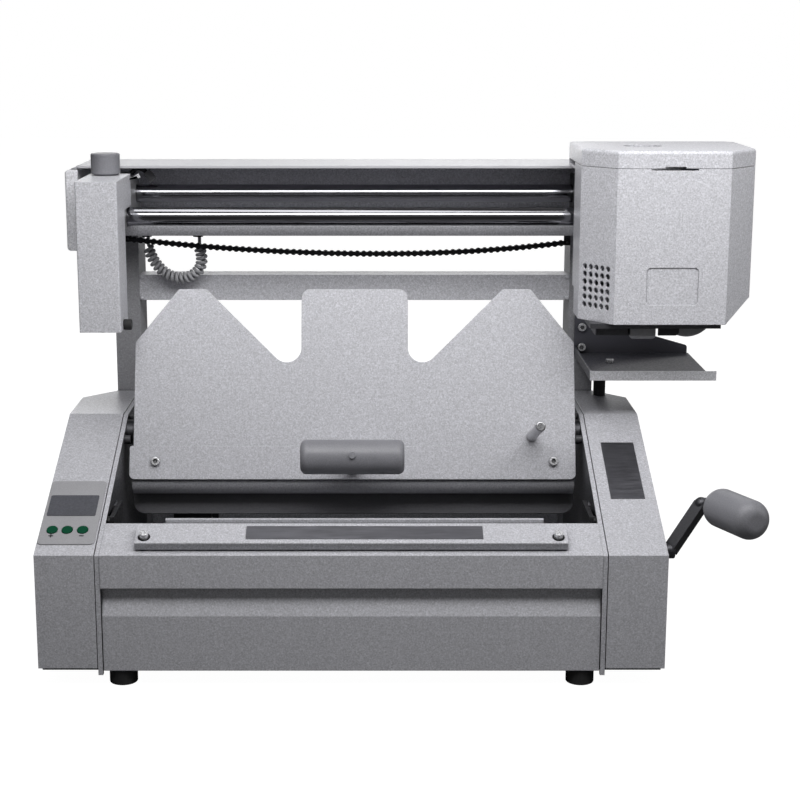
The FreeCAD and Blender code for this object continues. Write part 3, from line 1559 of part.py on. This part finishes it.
def nodes():
    cord, cord_start, cord_end = curly_cord()
    out = {
        "base_pan": base_pan(),
        "rubber_feet": rubber_feet(),
        "right_side_plate": side_plate(),
        "left_side_plate": mirrored(side_plate()),
        "left_housing": left_housing(),
        "right_housing": right_housing(),
        "rear_panel": rear_panel(),
        "front_table": front_table(),
        "stop_bar": stop_bar(),
        "bar_spacers": bar_spacers(),
        "frame_screws": bar_screws() + tray_screws() + cap_screws(),
        "bare_plates": bare_plates(),
        "waste_drawer": waste_drawer(),
        "left_post": post(-1),
        "right_post": post(1),
        "crossbar": crossbar(),
        "rail_beam": rail_beam(),
        "end_caps": end_caps(),
        "rails": [rail(lower_rail_y, lower_rail_z), rail(upper_rail_y, upper_rail_z)],
        "wing_plate": wing_plate(),
        "clamp_bar": clamp_bar(),
        "clamp_arms": clamp_arms(),
        "trunnions": trunnions(),
        "wing_screws": wing_screws(),
        "flip_pin": flip_pin(),
        "jaw_guides": jaw_guides(),
        "clamp_screw": clamp_screw(),
        "handle_grip": handle_grip(),
        "rear_jaw": rear_jaw(),
        "nip_plate": nip_plate(),
        "lever_shaft": lever_shaft(),
        "lever_arm": lever_arm(),
        "lever_grip": lever_grip(),
        "control_fascia": control_fascia(),
        "display_window": display_window(),
        "control_board": control_board(),
        "drip_tray": drip_tray(),
        "tray_buffer": tray_buffer(),
        "mill_cover": mill_cover(),
        "mill_block": mill_block(),
        "mill_motor": mill_motor(),
        "cutter": cutter(),
        "mill_knob": mill_knob(),
        "mill_bumper": mill_bumper(),
        "pot_body": pot_body(),
        "pot_lid": pot_lid(),
        "pot_tank": pot_tank(),
        "glue_outlet": glue_outlet(),
        "roller_sides": roller_sides(),
        "glue_roller": glue_roller(),
        "pot_base": pot_base(),
        "pot_bracket": pot_bracket(),
        "link_chain": link_chain(),
        "chain_hooks": chain_hooks(),
        "curly_cord": cord,
        "cord_glands": cord_glands(cord_start, cord_end),
        "power_inlet": power_inlet(),
    }
    for i, place in enumerate(button_xs):
        out["button_%d" % (i + 1)] = button(place)
    return out


def write_nodes():
    os.makedirs("parts", exist_ok=True)
    for name, shape in nodes().items():
        if isinstance(shape, list):
            shape = Part.makeCompound(shape)
        shape.translate(V(-origin_x, -origin_y, 0))
        if not shape.isValid():
            print("not valid:", name)
        shape.exportStep("parts/%s.step" % name)


write_nodes()
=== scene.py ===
import bpy
import bmesh
import json
import math
from mathutils import Matrix, Vector


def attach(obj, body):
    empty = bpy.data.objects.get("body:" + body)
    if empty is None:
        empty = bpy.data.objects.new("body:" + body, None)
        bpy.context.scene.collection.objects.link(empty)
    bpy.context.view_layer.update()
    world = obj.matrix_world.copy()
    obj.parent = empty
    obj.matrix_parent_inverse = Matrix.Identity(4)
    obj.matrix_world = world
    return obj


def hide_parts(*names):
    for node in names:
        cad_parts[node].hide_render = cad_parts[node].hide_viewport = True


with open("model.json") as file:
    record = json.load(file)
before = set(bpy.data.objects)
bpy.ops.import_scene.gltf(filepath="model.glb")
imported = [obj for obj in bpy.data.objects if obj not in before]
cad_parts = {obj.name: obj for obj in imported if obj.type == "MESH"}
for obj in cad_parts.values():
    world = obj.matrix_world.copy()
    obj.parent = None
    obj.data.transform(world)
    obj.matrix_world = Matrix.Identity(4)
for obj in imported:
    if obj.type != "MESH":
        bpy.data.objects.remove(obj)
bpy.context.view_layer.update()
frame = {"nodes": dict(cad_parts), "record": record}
nodes = frame["nodes"]

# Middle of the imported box, in the millimetres of the part's source
BOX_MIDDLE_X = 37.45
BOX_MIDDLE_Y = 128.041


def at(x, y, z):
    """A point given in millimetres from the body's middle, its front and the table."""
    return Vector(((x - BOX_MIDDLE_X) / 1000, (y - BOX_MIDDLE_Y) / 1000, z / 1000))


def add_object(name, data):
    obj = bpy.data.objects.new(name, data)
    bpy.context.scene.collection.objects.link(obj)
    return obj


# Camera, fitted to the photograph
LENS = 76.6
SHIFT = 0.034
CAMERA_PLACE = (14.7, -1108.2, 443.4)
CAMERA_TILT = 77.77

camera_data = bpy.data.cameras.new("camera")
camera_data.sensor_width = 36
camera_data.lens = LENS
camera_data.shift_x = SHIFT
camera_data.clip_end = 30
camera = add_object("camera", camera_data)
camera.location = at(*CAMERA_PLACE)
camera.rotation_euler = (math.radians(CAMERA_TILT), 0, 0)
bpy.context.scene.camera = camera
bpy.context.scene.view_settings.view_transform = "Standard"


# Materials
SPARK = 0.55            # how much the light flecks of the enamel show
SHADE = 0.5             # how much its dark flecks show
EDGE_SHINE = 0.25       # how much lighter its edges are
METAL_EDGE_SHINE = 0.4
LIGHT_SHADE_AND_GRIME = 0.75    # darkness of the painted shade and grime in a narrow seam
DEEP_SHADE_AND_GRIME = 0.97     # darkness of the painted shade and grime in a deep corner or socket
WIDE_REACH = 0.01       # painted shade that reaches further than this is a deep one
BLACK = (0.004, 0.004, 0.005)


class Maker:
    """Builds one procedural material; it starts with edges that look rounded."""

    def __init__(self, name, edge_radius):
        self.mat = bpy.data.materials.new(name)
        self.mat.use_nodes = True
        self.tree = self.mat.node_tree
        self.shader = self.tree.nodes["Principled BSDF"]
        self.place = self.node("ShaderNodeTexCoord").outputs["Object"]
        bevel = self.node("ShaderNodeBevel")
        bevel.samples = 4
        bevel.inputs["Radius"].default_value = edge_radius
        self.normal = bevel.outputs["Normal"]
        plain = self.node("ShaderNodeNewGeometry").outputs["Normal"]
        dot = self.node("ShaderNodeVectorMath", operation="DOT_PRODUCT")
        self.link(self.normal, dot.inputs[0])
        self.link(plain, dot.inputs[1])
        self.edge = self.ramp(dot.outputs["Value"], 1.0, 0.0, 0.8, 0.995)

    def node(self, kind, **values):
        made = self.tree.nodes.new(kind)
        for key, value in values.items():
            setattr(made, key, value)
        return made

    def link(self, source, target):
        self.tree.links.new(source, target)

    def put(self, value, socket):
        """Links a socket, or sets a colour or a number."""
        if isinstance(value, bpy.types.NodeSocket):
            self.link(value, socket)
        elif isinstance(value, tuple):
            socket.default_value = (*value, 1)
        else:
            socket.default_value = value

    def noise(self, scale, detail=2.0, rough=0.5, stretch=None):
        source = self.place
        if stretch:
            mapping = self.node("ShaderNodeMapping")
            mapping.inputs["Scale"].default_value = stretch
            self.link(self.place, mapping.inputs["Vector"])
            source = mapping.outputs["Vector"]
        made = self.node("ShaderNodeTexNoise")
        made.inputs["Scale"].default_value = scale
        made.inputs["Detail"].default_value = detail
        made.inputs["Roughness"].default_value = rough
        self.link(source, made.inputs["Vector"])
        return made.outputs["Fac"]

    def flecks(self, scale):
        """Two values that change from one tiny cell to the next."""
        cells = self.node("ShaderNodeTexVoronoi")
        cells.inputs["Scale"].default_value = scale
        self.link(self.place, cells.inputs["Vector"])
        split = self.node("ShaderNodeSeparateColor")
        self.link(cells.outputs["Color"], split.inputs["Color"])
        return split.outputs["Red"], split.outputs["Green"]

    def ramp(self, source, low, high, start=0.3, end=0.7):
        """Goes from low to high as the source goes from start to end."""
        made = self.node("ShaderNodeMapRange")
        made.inputs["From Min"].default_value = start
        made.inputs["From Max"].default_value = end
        made.inputs["To Min"].default_value = low
        made.inputs["To Max"].default_value = high
        self.link(source, made.inputs["Value"])
        return made.outputs["Result"]

    def mix(self, factor, a, b):
        made = self.node("ShaderNodeMix", data_type="RGBA")
        self.put(factor, made.inputs["Factor"])
        self.put(a, made.inputs["A"])
        self.put(b, made.inputs["B"])
        return made.outputs["Result"]

    def math(self, kind, a, b=0.0):
        made = self.node("ShaderNodeMath", operation=kind)
        self.put(a, made.inputs[0])
        self.put(b, made.inputs[1])
        return made.outputs["Value"]

    def bump(self, source, distance, strength):
        made = self.node("ShaderNodeBump")
        made.inputs["Distance"].default_value = distance
        made.inputs["Strength"].default_value = strength
        self.link(source, made.inputs["Height"])
        self.link(self.normal, made.inputs["Normal"])
        self.normal = made.outputs["Normal"]

    def shade_and_grime(self, colour, reach, depth):
        """Paints shade and grime into a colour, darker in seams, slots and corners, as ambient
        occlusion finds them.
        """
        made = self.node("ShaderNodeAmbientOcclusion", samples=6)
        made.inputs["Distance"].default_value = reach
        shade = self.ramp(made.outputs["AO"], depth, 0.0, 0.15, 0.85)
        return self.mix(shade, colour, BLACK)

    def coordinate(self, axis):
        split = self.node("ShaderNodeSeparateXYZ")
        self.link(self.place, split.inputs["Vector"])
        return split.outputs[axis]

    def width_shade(self, colour, kind, half, other):
        """Painted shade: another, darker colour nearer the body's middle plane than a half width,
        or beyond it.
        """
        away = self.math("ABSOLUTE", self.math("ADD", self.coordinate("X"), BOX_MIDDLE_X / 1000))
        return self.mix(self.math(kind, away, half), colour, other)

    def past(self, colour, axis, limit, other):
        """Another colour where a coordinate is over a limit; it paints shade behind the drip
        tray's lip and light on the beam's top.
        """
        return self.mix(self.math("GREATER_THAN", self.coordinate(axis), limit), colour, other)

    def done(self, colour, rough, metallic, specular=None):
        self.link(colour, self.shader.inputs["Base Color"])
        self.link(rough, self.shader.inputs["Roughness"])
        self.shader.inputs["Metallic"].default_value = metallic
        if specular is not None:
            self.shader.inputs["Specular IOR Level"].default_value = specular
        self.link(self.normal, self.shader.inputs["Normal"])
        return self.mat


def tone(colour, factor):
    return tuple(c * factor for c in colour)


def enamel(name, colour, grain=0.2, rough=0.42, edge_radius=0.0007, reach=0.0035,
           width_shade=None, past=None):
    """Silver-grey metallic enamel with a fine grain of light and dark flecks, painted shade and
    grime in its seams, and, where given, painted shade and painted light by place.
    """
    m = Maker(name, edge_radius)
    light, dark = m.flecks(1100)
    fine = m.noise(900, 3, 0.6)
    cloud = m.noise(9, 3, 0.55)
    base = m.mix(m.ramp(fine, 0, 1, 0.32, 0.68), tone(colour, 1 - grain), tone(colour, 1 + grain))
    base = m.mix(m.math("MULTIPLY", m.ramp(light, 0, 1, 0.7, 1.0), SPARK), base, tone(colour, 1.4))
    base = m.mix(m.math("MULTIPLY", m.ramp(dark, 0, 1, 0.7, 1.0), SHADE), base, tone(colour, 0.65))
    base = m.mix(m.ramp(cloud, 0, 0.10), base, tone(colour, 0.72))
    base = m.mix(m.math("MULTIPLY", m.edge, EDGE_SHINE), base, tone(colour, 1.2))
    if width_shade:
        base = m.width_shade(base, *width_shade)
    if past:
        base = m.past(base, *past)
    # Painted shade and grime in seams; with a wide reach, painted shade across deep hollows.
    base = m.shade_and_grime(base, reach, LIGHT_SHADE_AND_GRIME if reach < WIDE_REACH else DEEP_SHADE_AND_GRIME)
    m.bump(fine, 0.00006, 0.5)
    m.bump(m.noise(260, 2, 0.5), 0.00012, 0.35)
    return m.done(base, m.ramp(m.noise(700, 2), rough - 0.10, rough + 0.12), 0.05, 0.35)


def metal(name, colour, rough, stretch=(1, 1, 1), scale=900, deep=0.00002, grime=0.3,
          reach=0.002, metallic=1.0):
    """Bare metal with machining or rolling marks along one way."""
    m = Maker(name, 0.0003)
    lines = m.noise(scale, 4, 0.6, stretch)
    cloud = m.noise(24, 4, 0.6)
    base = m.mix(m.ramp(lines, 0, 1), tone(colour, 0.84), tone(colour, 1.08))
    base = m.mix(m.ramp(cloud, 0, grime, 0.45, 0.75), base, tone(colour, 0.55))
    base = m.mix(m.math("MULTIPLY", m.edge, METAL_EDGE_SHINE), base, tone(colour, 1.3))
    # Painted shade and grime in sockets, slots and corners.
    base = m.shade_and_grime(base, reach, DEEP_SHADE_AND_GRIME)
    m.bump(lines, deep, 0.6)
    return m.done(base, m.ramp(lines, rough - 0.06, rough + 0.1), metallic)


def moulded(name, colour, rough=0.45, scale=1400, deep=0.00005, wear=0.25, sheen=0.5):
    """Moulded plastic or rubber with a fine skin."""
    m = Maker(name, 0.0004)
    skin = m.noise(scale, 2, 0.6)
    cloud = m.noise(40, 4, 0.6)
    base = m.mix(m.ramp(skin, 0, 1), tone(colour, 0.86), tone(colour, 1.12))
    base = m.mix(m.ramp(cloud, 0, 0.2, 0.5, 0.8), base, tone(colour, 1.35))
    base = m.mix(m.math("MULTIPLY", m.edge, wear), base, tone(colour, 1.7))
    m.bump(skin, deep, 0.5)
    return m.done(base, m.ramp(cloud, rough - 0.06, rough + 0.08), 0.0, sheen)


# Places in the frame, in metres, where the photograph shows a change of tone
SIDE_PLATE_OUTSIDE = 0.1716
NIP_PLATE_MIDDLE = 0.140
TRAY_BACK = 0.0122
BEAM_LIP = 0.3393

GREY = (0.53, 0.53, 0.565)
finish = {
    "grey_paint": enamel("enamel_grey", GREY),
    # Pot, mill cover and crossbar: a lighter copy of the grey enamel, painted light.
    "lit_pot_enamel": enamel("painted_light_pot", (0.66, 0.66, 0.70)),
    # Side plates: painted shade, near black, on the inner faces and pegs nearer the middle than
    # this half width; the front edges keep the grey.
    "shaded_plate_enamel": enamel("painted_shade_plate", GREY, edge_radius=0.0003,
                          width_shade=("LESS_THAN", SIDE_PLATE_OUTSIDE, (0.06, 0.06, 0.065))),
    # Nip plate: painted shade, near black, on its side arms beyond this half width; its middle
    # keeps the grey.
    "shaded_nip_enamel": enamel("painted_shade_nip", GREY,
                        width_shade=("GREATER_THAN", NIP_PLATE_MIDDLE, (0.02, 0.02, 0.022))),
    # Clamp bar: a darker copy of the grey enamel, painted shade.
    "shaded_bar_enamel": enamel("painted_shade_bar", (0.27, 0.27, 0.29)),
    # Posts: a darker copy of the grey enamel, painted shade.
    "shaded_post_enamel": enamel("painted_shade_post", (0.36, 0.36, 0.38), 0.08, 0.5),
    # Drip tray: a lighter copy of the grey enamel, painted light on its front lip; painted shade,
    # near black, behind the lip, and wide painted shade in its hollows.
    "lit_and_shaded_tray_enamel": enamel("painted_light_and_shade_tray", (0.62, 0.62, 0.65), reach=0.02,
                        past=("Y", TRAY_BACK, (0.105, 0.105, 0.125))),
    # End caps: a much lighter copy of the grey enamel, painted light.
    "lit_cap_enamel": enamel("painted_light_cap", (0.84, 0.84, 0.88)),
    # Rail beam: painted light, a lighter grey above this height near its top.
    "lit_top_beam_enamel": enamel("painted_light_beam_top", GREY, past=("Z", BEAM_LIP, (0.60, 0.60, 0.63))),
    "dark_steel": metal("dark_steel", (0.085, 0.085, 0.092), 0.45),
    "bright_steel": metal("turned_steel", (0.52, 0.52, 0.54), 0.30),
    "screw_steel": metal("screw_steel", (0.78, 0.78, 0.80), 0.26, reach=0.005, metallic=0.45),
    "black_steel": metal("black_steel", (0.12, 0.12, 0.13), 0.42, deep=0.00004, metallic=0.7),
    "chrome": metal("rail_chrome", (0.30, 0.30, 0.32), 0.09, (0.04, 1, 1), 700, 0.000004,
                    grime=0.15),
    "aluminium": metal("cast_aluminium", (0.50, 0.50, 0.51), 0.5, scale=500, deep=0.0002),
    "roller_steel": metal("roller_steel", (0.42, 0.42, 0.44), 0.45, scale=500, deep=0.0001,
                          metallic=0.5),
    "dark_plate": metal("bare_plate", (0.26, 0.26, 0.285), 0.42, (0.06, 1, 1)),
    # Base pan: near-black steel with wide painted shade, standing in for the shade in the pit.
    "pit_shade_steel": metal("pit_shade_steel", (0.03, 0.03, 0.033), 0.55, reach=0.10),
    "chain_steel": metal("chain_steel", (0.035, 0.035, 0.038), 0.4),
    "rubber": moulded("rubber_black", (0.018, 0.018, 0.019), 0.7, 900),
    "fascia": moulded("fascia_film", (0.345, 0.343, 0.360), 0.40, 1800, 0.00002),
    "window": moulded("window_gloss", (0.095, 0.097, 0.112), 0.16, 600, 0.000004, 0.1),
    "board": moulded("circuit_board", (0.02, 0.12, 0.05), 0.4),
    "green": moulded("key_green", (0.001, 0.062, 0.028), 0.5, 1500, 0.00003, 0.1, 0.12),
    "grip": moulded("grip_grey", (0.22, 0.22, 0.24), 0.42, 1300, 0.00006, 0.12),
    "cord": moulded("cord_grey", (0.42, 0.42, 0.44), 0.48, 1600, 0.00003),
    "sign_ink": moulded("sign_ink", (0.025, 0.025, 0.027), 0.5, 1500, 0.00001, sheen=0.2),
    "boot_grey": moulded("boot_grey", (0.22, 0.22, 0.23), 0.5, 1200),
    "black_plastic": moulded("black_plastic", (0.022, 0.022, 0.024), 0.4),
}

# CAD nodes whose finish is not the one of their material slot; several of these finishes are
# lighter or darker copies of the grey enamel that carry painted light or painted shade
painted = {
    "crossbar": "lit_pot_enamel", "mill_cover": "lit_pot_enamel", "pot_body": "lit_pot_enamel",
    "pot_lid": "lit_pot_enamel", "left_post": "shaded_post_enamel", "right_post": "shaded_post_enamel",
    "left_side_plate": "shaded_plate_enamel", "right_side_plate": "shaded_plate_enamel",
    "end_caps": "lit_cap_enamel", "rail_beam": "lit_top_beam_enamel", "drip_tray": "lit_and_shaded_tray_enamel",
    "nip_plate": "shaded_nip_enamel", "clamp_bar": "shaded_bar_enamel", "base_pan": "pit_shade_steel",
    "wing_screws": "screw_steel", "frame_screws": "screw_steel",
    "glue_outlet": "roller_steel", "glue_roller": "roller_steel",
    "cutter": "dark_steel", "pot_bracket": "dark_steel", "link_chain": "chain_steel",
}
for entry in frame["record"]["subparts"]:
    look = painted.get(entry["node"], entry["material_slot"])
    materials = nodes[entry["node"]].data.materials
    materials.clear()
    materials.append(finish[look])


# Curves
def new_curve(name, points, radius, order=3, resolution=4):
    """A smooth round wire along control points, or only its line where the radius is 0."""
    curve = bpy.data.curves.new(name, "CURVE")
    curve.dimensions = "3D"
    curve.resolution_u = resolution
    curve.bevel_depth = 1.0 if radius else 0.0
    curve.bevel_resolution = 4
    curve.use_fill_caps = radius > 0
    spline = curve.splines.new("NURBS")
    spline.points.add(len(points) - 1)
    for point, place in zip(spline.points, points):
        point.co = (*place, 1)
        point.radius = radius
    spline.order_u = order
    spline.use_endpoint_u = True
    return add_object(name, curve)


def take_mesh(guide):
    """The mesh of a guide curve, which is removed."""
    bpy.context.view_layer.update()
    mesh = bpy.data.meshes.new_from_object(
        guide.evaluated_get(bpy.context.evaluated_depsgraph_get()))
    bpy.data.objects.remove(guide)
    return mesh


# Curly cord
CORD_ROUTE = ((-164.2, 280.6), (-160.8, 270.0), (-155.6, 261.2), (-148.0, 254.4),
              (-138.0, 251.4), (-128.6, 253.4), (-122.0, 259.4), (-120.2, 267.4),
              (-121.8, 275.0), (-123.6, 281.0))
CORD_PLANE = 232.0
CORD_TOP = 0.2845
CORD_TURNS = 20
COIL_RADIUS = 0.00345
WIRE_RADIUS = 0.00135
CORD_LEAD = 0.004
STEPS_A_TURN = 16


def curly_cord(name):
    """A helix along the hanging loop, with straight ends that go up into the glands."""
    guide = new_curve("guide", [at(x, CORD_PLANE, z) for x, z in CORD_ROUTE], 0, resolution=24)
    line = [v.co.copy() for v in take_mesh(guide).vertices]
    runs = [0.0]
    for a, b in zip(line, line[1:]):
        runs.append(runs[-1] + (b - a).length)
    total = runs[-1]
    steps = STEPS_A_TURN * CORD_TURNS
    points = []
    k = 0
    for i in range(steps + 1):
        s = CORD_LEAD + (total - 2 * CORD_LEAD) * i / steps
        while k < len(runs) - 2 and runs[k + 1] < s:
            k += 1
        t = (s - runs[k]) / (runs[k + 1] - runs[k])
        centre = line[k].lerp(line[k + 1], t)
        low, high = max(k - 1, 0), min(k + 2, len(line) - 1)
        along = (line[high] - line[low]).normalized()
        side = Vector((0, 1, 0))
        up = along.cross(side)
        angle = 2 * math.pi * CORD_TURNS * i / steps
        points.append(centre + COIL_RADIUS * (side * math.cos(angle) + up * math.sin(angle)))
    first, last = points[0].copy(), points[-1].copy()
    first.z = last.z = CORD_TOP
    points = [first, first.lerp(points[0], 0.5)] + points + [points[-1].lerp(last, 0.5), last]
    length = sum((b - a).length for a, b in zip(points, points[1:]))
    return new_curve(name, points, WIRE_RADIUS, resolution=2), first, length


cord, cord_exit, cord_length = curly_cord("curly_cord_sheath")
cord.data.materials.append(finish["cord"])
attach(cord, "frame")
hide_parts("curly_cord")


# Small trims
def add_piece(name, body, look, bm):
    """Makes a small piece from its bmesh; it rides on a body."""
    bmesh.ops.recalc_face_normals(bm, faces=bm.faces)
    mesh = bpy.data.meshes.new(name)
    bm.to_mesh(mesh)
    bm.free()
    mesh.materials.append(finish[look])
    obj = add_object(name, mesh)
    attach(obj, body)


def raised(bm, outline, low, high, place):
    """An outline in the XY plane of a place, raised from low to high."""
    face = bm.faces.new([bm.verts.new((x, y, low)) for x, y in outline])
    grown = bmesh.ops.extrude_face_region(bm, geom=[face])["geom"]
    moved = [v for v in grown if isinstance(v, bmesh.types.BMVert)]
    bmesh.ops.translate(bm, verts=moved, vec=(0, 0, high - low))
    bmesh.ops.transform(bm, matrix=place, verts=moved + list(face.verts))


def turned(bm, profile, start, end, sides=32):
    """A profile of (share of the way, radius) turned about the line from start to end."""
    run = end - start
    turn = run.to_track_quat("Z", "Y").to_matrix().to_4x4()
    rings = []
    for share, radius in profile:
        centre = start + run * share
        ring = []
        for i in range(sides):
            angle = 2 * math.pi * i / sides
            spoke = Vector((radius * math.cos(angle), radius * math.sin(angle), 0))
            ring.append(bm.verts.new(centre + turn @ spoke))
        rings.append(ring)
    for a, b in zip(rings, rings[1:]):
        for i in range(sides):
            j = (i + 1) % sides
            bm.faces.new((a[i], a[j], b[j], b[i])).smooth = True
    bm.faces.new(rings[0][::-1])
    bm.faces.new(rings[-1])


# The left slope starts at this height and rises by the first over the second
SLOPE_START = 95.0
SLOPE_RISE, SLOPE_RUN = 63.5, 156.8
SIGN_UP_SLOPE = 0.0203
SIGN_FOOT, SIGN_TOP = 0.0008, 0.00088
BAR_LONG, BAR_WIDE = 0.0017, 0.0005
PLUS_X, MINUS_X = -207.3, -186.2


def key_signs():
    """A plus and a minus under the outer keys, on the control fascia."""
    turn = Matrix.Rotation(math.atan2(SLOPE_RISE, SLOPE_RUN), 4, "X")
    up_slope = Matrix.Translation((0, SIGN_UP_SLOPE, 0))
    bm = bmesh.new()
    for x, w, h in ((PLUS_X, BAR_LONG, BAR_WIDE), (PLUS_X, BAR_WIDE, BAR_LONG),
                    (MINUS_X, BAR_LONG, BAR_WIDE)):
        place = Matrix.Translation(at(x, 0, SLOPE_START)) @ turn @ up_slope
        raised(bm, ((-w, -h), (w, -h), (w, h), (-w, h)), SIGN_FOOT, SIGN_TOP, place)
    add_piece("key_signs", "frame", "sign_ink", bm)


# Side view of the clip, in millimetres, with its rear edge and its width
CLIP_SIDE = ((-178.0, 333.2), (-171.0, 333.2), (-163.4, 337.6), (-161.8, 334.9),
             (-162.9, 334.2), (-164.2, 336.2), (-171.2, 334.3), (-178.0, 334.3))
CLIP_REAR = 193.0
CLIP_WIDTH = 0.006


def block_clip():
    """A spring clip on the milling carriage's bearing block."""
    bm = bmesh.new()
    place = Matrix.Translation(at(0, CLIP_REAR, 0)) @ Matrix.Rotation(math.pi / 2, 4, "X")
    raised(bm, tuple((x / 1000, z / 1000) for x, z in CLIP_SIDE), 0.0, CLIP_WIDTH, place)
    add_piece("block_clip", "mill", "screw_steel", bm)


BOOT_RIBS = 6
RIB_PITCH = 0.15
NECK_RADIUS, RIB_RADIUS, TIP_RADIUS = 0.0030, 0.0037, 0.0021
BOOT_TOP, BOOT_TIP = (-163.6, 238.0, 335.2), (-157.4, 238.0, 328.4)


def cable_boot():
    """A ribbed boot beside the bearing block."""
    bm = bmesh.new()
    profile = [(0, NECK_RADIUS)]
    for i in range(BOOT_RIBS):
        rib = i * RIB_PITCH
        profile += [(0.06 + rib, NECK_RADIUS), (0.08 + rib, RIB_RADIUS), (0.14 + rib, RIB_RADIUS),
                    (0.16 + rib, NECK_RADIUS)]
    profile.append((1, TIP_RADIUS))
    turned(bm, profile, at(*BOOT_TOP), at(*BOOT_TIP))
    add_piece("cable_boot", "mill", "boot_grey", bm)


CABLE_ROUTE = ((-176.0, 238.0, 332.2), (-173.5, 238.0, 337.2), (-167.0, 238.0, 338.4),
               (-163.2, 238.0, 334.8))
CABLE_RADIUS = 0.0018


def block_cable():
    """The short cable from the bearing block into the boot."""
    guide = new_curve("cable_guide", [at(*place) for place in CABLE_ROUTE], CABLE_RADIUS)
    bm = bmesh.new()
    bm.from_mesh(take_mesh(guide))
    add_piece("block_cable", "mill", "black_plastic", bm)


key_signs()
block_clip()
cable_boot()
block_cable()


# Floor, backdrop and lights
FLOOR_HALF = 6
FLOOR_DARK, FLOOR_LIGHT = 0.10, 0.12
FLOOR_SEEN = 0.985
WORLD_LIGHT, WORLD_SEEN = 0.12, 1.0


def seen(tree):
    """Is 1 for what the camera sees, also through a clear piece, and 0 for light that bounces."""
    path = tree.nodes.new("ShaderNodeLightPath")
    either = tree.nodes.new("ShaderNodeMath")
    either.operation = "MAXIMUM"
    tree.links.new(path.outputs["Is Camera Ray"], either.inputs[0])
    tree.links.new(path.outputs["Is Transmission Ray"], either.inputs[1])
    return either.outputs["Value"]


def floor_material():
    """A floor that looks white and still throws little light on the machine."""
    mat = bpy.data.materials.new("floor_white")
    mat.use_nodes = True
    tree = mat.node_tree
    shader = tree.nodes["Principled BSDF"]
    shader.inputs["Roughness"].default_value = 0.9
    noise = tree.nodes.new("ShaderNodeTexNoise")
    noise.inputs["Scale"].default_value = 3
    colour = tree.nodes.new("ShaderNodeMix")
    colour.data_type = "RGBA"
    colour.inputs["A"].default_value = (FLOOR_DARK, FLOOR_DARK, FLOOR_DARK, 1)
    colour.inputs["B"].default_value = (FLOOR_LIGHT, FLOOR_LIGHT, FLOOR_LIGHT, 1)
    tree.links.new(noise.outputs["Fac"], colour.inputs["Factor"])
    tree.links.new(colour.outputs["Result"], shader.inputs["Base Color"])
    white = tree.nodes.new("ShaderNodeMath")
    white.operation = "MULTIPLY"
    white.inputs[1].default_value = FLOOR_SEEN
    tree.links.new(seen(tree), white.inputs[0])
    shader.inputs["Emission Color"].default_value = (1, 1, 1, 1)
    tree.links.new(white.outputs["Value"], shader.inputs["Emission Strength"])
    return mat


floor_mesh = bpy.data.meshes.new("floor")
bm = bmesh.new()
bmesh.ops.create_grid(bm, x_segments=8, y_segments=8, size=FLOOR_HALF)
bm.to_mesh(floor_mesh)
bm.free()
floor_mesh.materials.append(floor_material())
add_object("floor", floor_mesh)

world = bpy.data.worlds.new("world")
bpy.context.scene.world = world
world.use_nodes = True
tree = world.node_tree
back = tree.nodes["Background"]
back.inputs["Color"].default_value = (1, 1, 1, 1)
level = tree.nodes.new("ShaderNodeMapRange")
level.inputs["To Min"].default_value = WORLD_LIGHT
level.inputs["To Max"].default_value = WORLD_SEEN
tree.links.new(seen(tree), level.inputs["Value"])
tree.links.new(level.outputs["Result"], back.inputs["Strength"])


def lamp(name, place, target, size, watts):
    """A soft rectangular lamp, in metres, turned to a target; the camera does not see it."""
    data = bpy.data.lights.new(name, "AREA")
    data.shape = "RECTANGLE"
    data.size, data.size_y = size
    data.energy = watts
    obj = add_object(name, data)
    obj.location = place
    obj.rotation_euler = (Vector(target) - Vector(place)).to_track_quat("-Z", "Y").to_euler()
    obj.visible_camera = False


lamp("key", (0.06, -0.35, 0.61), (0.02, 0, 0.2), (0.9, 0.2), 3.4)
lamp("top", (-0.15, -0.15, 1.25), (0, 0, 0.1), (0.8, 0.4), 2.6)
lamp("back", (0.3, 1.3, 0.9), (0, 0, 0.2), (0.8, 0.5), 1.8)
lamp("side", (1.0, -0.3, 0.45), (0.2, 0, 0.28), (0.3, 0.5), 1.0)
lamp("rear", (-0.2, 1.3, 0.40), (0, 0.1, 0.15), (1.0, 0.5), 4.0)
